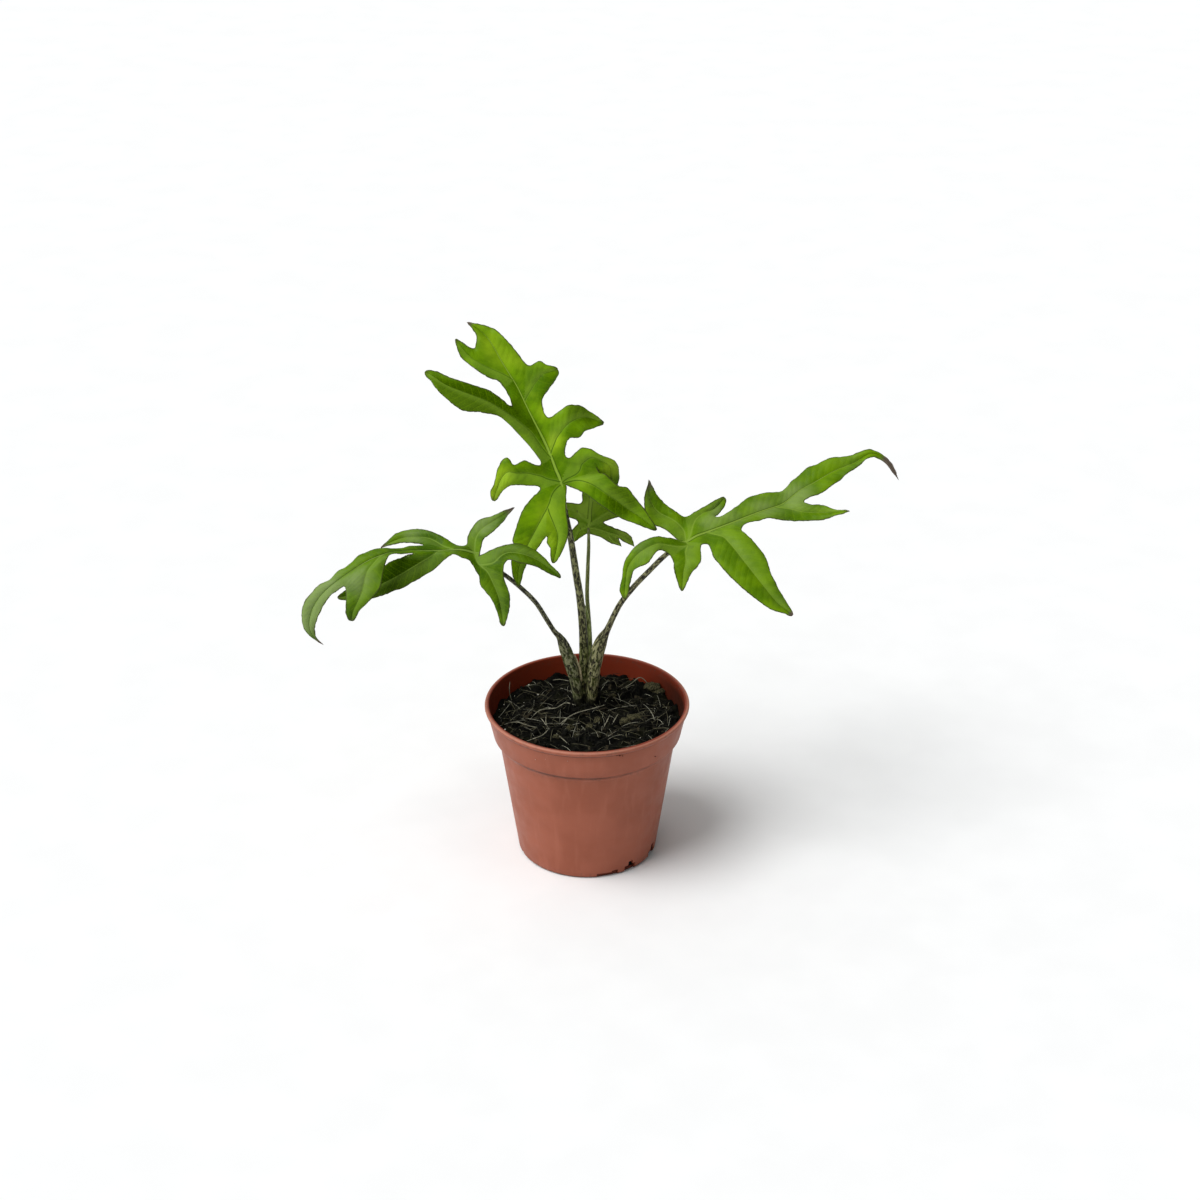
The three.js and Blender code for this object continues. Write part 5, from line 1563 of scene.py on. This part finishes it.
def joined(name, parts, material, smooth=True):
    """Many small closed shapes as one piece."""
    points, faces, start = [], [], 0
    for part_points, part_faces in parts:
        points.append(part_points)
        faces += [[start + v for v in face] for face in part_faces]
        start += len(part_points)
    return make_object(name, np.vstack(points), faces, [material], smooth=smooth)


def pebble(centre, size, draw, detail=1, flat=0.7):
    """A knobbly crumb: a small sphere of triangles pushed in and out."""
    shape = bmesh.new()
    bmesh.ops.create_icosphere(shape, subdivisions=detail + 1, radius=1.0)
    seed = Vector((draw.random(), draw.random(), draw.random())) * 50
    stretch = Vector((1, 0.65 + 0.5 * draw.random(), flat * (0.7 + 0.5 * draw.random())))
    turn = draw.random() * 2 * math.pi
    points = []
    for vertex in shape.verts:
        push = 1 + 0.5 * noise.noise(vertex.co * 1.3 + seed)
        x, y, z = [vertex.co[k] * stretch[k] * push * size for k in range(3)]
        points.append(np.add(centre, (*turned(x, y, turn), z)))
    faces = [[vertex.index for vertex in face.verts] for face in shape.faces]
    shape.free()
    return np.array(points), faces


def flake(centre, length, width, thick, turn, tilt, draw):
    """A chip of bark: a thin slab with ragged sides, lying at a slant."""
    steps = 5
    left = [(-0.5 + k / steps, 0.5 * (0.6 + 0.4 * draw.random())) for k in range(steps + 1)]
    right = [(x, -y * (0.7 + 0.4 * draw.random())) for x, y in left]
    ring = left + right[::-1]
    points = []
    for z in (-0.5, 0.5):
        for x, y in ring:
            px, pz = turned(x * length, z * thick + 0.12 * length * x * x, tilt)
            points.append(np.add(centre, (*turned(px, y * width, turn), pz)))
    count = len(ring)
    faces = [list(range(count)), [2 * count - 1 - k for k in range(count)]]
    for k in range(count):
        a, b = k, (k + 1) % count
        faces.append([b, a, count + a, count + b])
    return np.array(points), faces


def on_soil(draw, reach):
    """A random spot on the soil, clear of the stems."""
    while True:
        angle, radius = 2 * math.pi * draw.random(), reach * math.sqrt(draw.random())
        x, y = around(radius, angle)
        if math.hypot(x - STEM_SPOT[0], y - STEM_SPOT[1]) > STEM_CLEARANCE:
            return x, y


def thread(points, radius, sides=6):
    """A fibre as a tube that thins to both ends."""
    line = smooth_line(points, 5)
    t = np.linspace(0, 1, len(line))
    radii = radius * np.clip(0.25 + 5 * np.minimum(t, 1 - t), 0, 1)
    return tube(line, radii, sides)


def random_fibre(draw):
    """A stiff, nearly straight root fibre over the clods. Some lift off at one end, and few lie in front."""
    x, y = on_soil(draw, SOIL_RADIUS - 3)
    if y < -22:
        x, y = on_soil(draw, SOIL_RADIUS - 3)
    heading = 2 * math.pi * draw.random()
    length = 4 + 20 * draw.random() ** 2
    bend = 0.12 * (draw.random() - 0.5)
    steps = 6
    spots = []
    for _ in range(steps):
        if math.hypot(x, y) > SOIL_RADIUS - 1.2:
            break
        spots.append((x, y))
        heading += bend + 0.08 * (draw.random() - 0.5)
        x += length / steps * math.cos(heading)
        y += length / steps * math.sin(heading)
    if len(spots) < 2:
        return []
    start = ground(*spots[0]) + 0.3
    end = ground(*spots[-1]) + (0.2 if draw.random() < 0.6 else 1.8)
    heights = np.linspace(start, end, len(spots)) + 0.7 * np.sin(np.linspace(0, np.pi, len(spots)))
    return [(*spot, height) for spot, height in zip(spots, heights)]


def on_ground(x, y, lift):
    return x, y, ground(x, y) + lift


def loose_fibres(draw):
    pieces = []
    for name, (dark, light, count, radius) in FIBRES.items():
        lines = [random_fibre(draw) for _ in range(count)]
        kept = [line for line in lines if len(line) > 3]
        parts = [thread(line, radius * (0.7 + 0.6 * draw.random())) for line in kept]
        pieces.append(joined(name, parts, plain_grain(name, dark, light, 2)))
    return pieces


def crumbs(draw):
    """Crumbs all over the soil, and more of them close round the stems."""
    parts = []
    for _ in range(CRUMBS):
        x, y = on_soil(draw, SOIL_RADIUS - 1.5)
        size = 0.5 + 1.1 * draw.random() ** 2
        parts.append(pebble(on_ground(x, y, 0.25 * size), size, draw))
    for k in range(STEM_CRUMBS):
        angle, away, size = k * 2.4, 5 + 4.5 * draw.random(), 0.7 + 0.8 * draw.random()
        x, y = around(away, angle)
        spot = (STEM_SPOT[0] + x, STEM_SPOT[1] - 2.4 + 0.8 * y)
        parts.append(pebble(on_ground(*spot, 0.5 * size), size, draw))
    grain = plain_grain("crumb", (7, 8, 7), (27, 26, 20), 0.9, 0.9, 0.3)
    return joined("soil_crumbs", parts, grain)


def bark_chips(draw):
    parts = []
    for _ in range(CHIPS):
        x, y = on_soil(draw, SOIL_RADIUS - 4)
        length = 2.5 + 4 * draw.random()
        tilt = 0.5 * (draw.random() - 0.5)
        turn = 2 * math.pi * draw.random()
        parts.append(flake(on_ground(x, y, 0.5), length, length * 0.45, 0.6, turn, tilt, draw))
    grain = plain_grain("bark", (24, 22, 16), (58, 52, 38), 1.6)
    return joined("bark_chips", parts, grain, smooth=False)


def soil_litter():
    """What lies on the soil by chance."""
    draw = random.Random(21)
    return loose_fibres(draw) + [crumbs(draw), bark_chips(draw)]


def placed_litter():
    """What the photo shows at a certain place: long fibres, pale specks and olive lumps."""
    draw = random.Random(4)
    lines = [([on_ground(*spot) for spot in line], radius) for line, radius in PLACED_FIBRES]
    parts = {
        "root_fibres": [thread(line, radius) for line, radius in lines],
        "perlite_specks": [pebble(on_ground(x, y, 0.4), 0.7 * size, draw) for x, y, size in PERLITE],
        "mossy_lumps": [
            pebble(on_ground(x, y, 0.3 * size), size, draw, 2, 0.6) for x, y, size in OLIVE_LUMPS
        ],
    }
    grains = {
        "root_fibres": plain_grain("root_fibre", (112, 110, 94), (162, 158, 138), 2.5, 0.8),
        "perlite_specks": plain_grain("perlite", (166, 162, 150), (204, 200, 188), 0.8, 0.8, 0.1),
        "mossy_lumps": plain_grain("olive_lump", (34, 33, 22), (88, 84, 60), 0.9, 0.85, 0.5),
    }
    return [joined(name, parts[name], grains[name]) for name in parts]


def collar_specks():
    draw = random.Random(9)
    parts = {False: [], True: []}
    for degrees, height, size, is_pale in COLLAR_SPECKS:
        centre = (*from_front(outside_radius(height) + 0.05, degrees), height)
        parts[is_pale].append(pebble(centre, size, draw))
    dark = plain_grain("collar_dirt", (44, 26, 18), (70, 44, 32), 0.6)
    pale = plain_grain("collar_dust", (186, 150, 134), (214, 184, 168), 0.6)
    return [joined("collar_dirt", parts[False], dark), joined("collar_dust", parts[True], pale)]


# The scene round the plant


def studio():
    """A wide white floor."""
    paint = Paint("studio_white", {"Roughness": 0.9, "Specular IOR Level": 0.0})
    speckle = paint.mix(paint.ramp(paint.noise(40, 2), 0.3, 0.7), *FLOOR_TONES)
    paint.connect("Base Color", speckle)
    steps = (-FLOOR_REACH, 0, FLOOR_REACH)
    points = [(x, y, 0) for y in steps for x in steps]
    faces = [[0, 1, 4, 3], [1, 2, 5, 4], [3, 4, 7, 6], [4, 5, 8, 7]]
    make_object("studio_floor", points, faces, [paint.material])


def sun_light():
    """One wide soft lamp a long way off."""
    light = bpy.data.lights.new("key", "SUN")
    light.energy = LAMP_STRENGTH
    light.angle = math.radians(LAMP_WIDTH)
    lamp = bpy.data.objects.new("key", light)
    lamp.rotation_euler = Vector(LAMP_DIRECTION).to_track_quat("-Z", "Y").to_euler()
    bpy.context.scene.collection.objects.link(lamp)


def soft_room(world):
    """Even light all round that is weaker from the right."""
    tree = world.node_tree
    place = tree.nodes.new("ShaderNodeTexCoord")
    split = tree.nodes.new("ShaderNodeSeparateXYZ")
    fade = tree.nodes.new("ShaderNodeMapRange")
    left, right = ROOM_LIGHT
    for key, value in (("From Min", -0.7), ("From Max", 0.7), ("To Min", left), ("To Max", right)):
        fade.inputs[key].default_value = value
    tree.links.new(place.outputs["Generated"], split.inputs[0])
    tree.links.new(split.outputs["X"], fade.inputs["Value"])
    tree.links.new(fade.outputs[0], tree.nodes["Background"].inputs["Strength"])


def camera():
    tilt = math.radians(CAMERA_TILT)
    lens = bpy.data.cameras.new("camera")
    lens.lens = CAMERA_LENS
    lens.sensor_width = SENSOR_WIDTH
    view = bpy.data.objects.new("camera", lens)
    target = Vector(CAMERA_TARGET) / 1000
    back = Vector((0, -math.cos(tilt), math.sin(tilt))) * CAMERA_DISTANCE / 1000
    view.location = target + back
    view.rotation_euler = (-back).to_track_quat("-Z", "Y").to_euler()
    bpy.context.scene.collection.objects.link(view)
    bpy.context.scene.camera = view


def light_scene():
    world = bpy.data.worlds.new("studio")
    world.use_nodes = True
    world.node_tree.nodes["Background"].inputs["Color"].default_value = (1, 1, 1, 1)
    soft_room(world)
    bpy.context.scene.world = world
    sun_light()
    bpy.context.scene.view_settings.view_transform = "Standard"


def mount(pieces, node):
    for piece in pieces:
        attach(piece, "root")
        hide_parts(node)


for name in LEAVES:
    mount([blade_mesh(name)], f"blade_{name}")
    mount([stalk_piece(name)], f"petiole_{name}")
for name, (rows, turn, spread, dry) in FLAPS.items():
    flap = flap_piece(name, rows, turn, spread, dry_skin() if dry else sheath_skin())
    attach(flap, "root")
mount([pot_piece()], "pot")
for speck in collar_specks():
    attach(speck, "root")
mount([soil_piece()] + soil_litter() + placed_litter(), "soil")
studio()
light_scene()
camera()
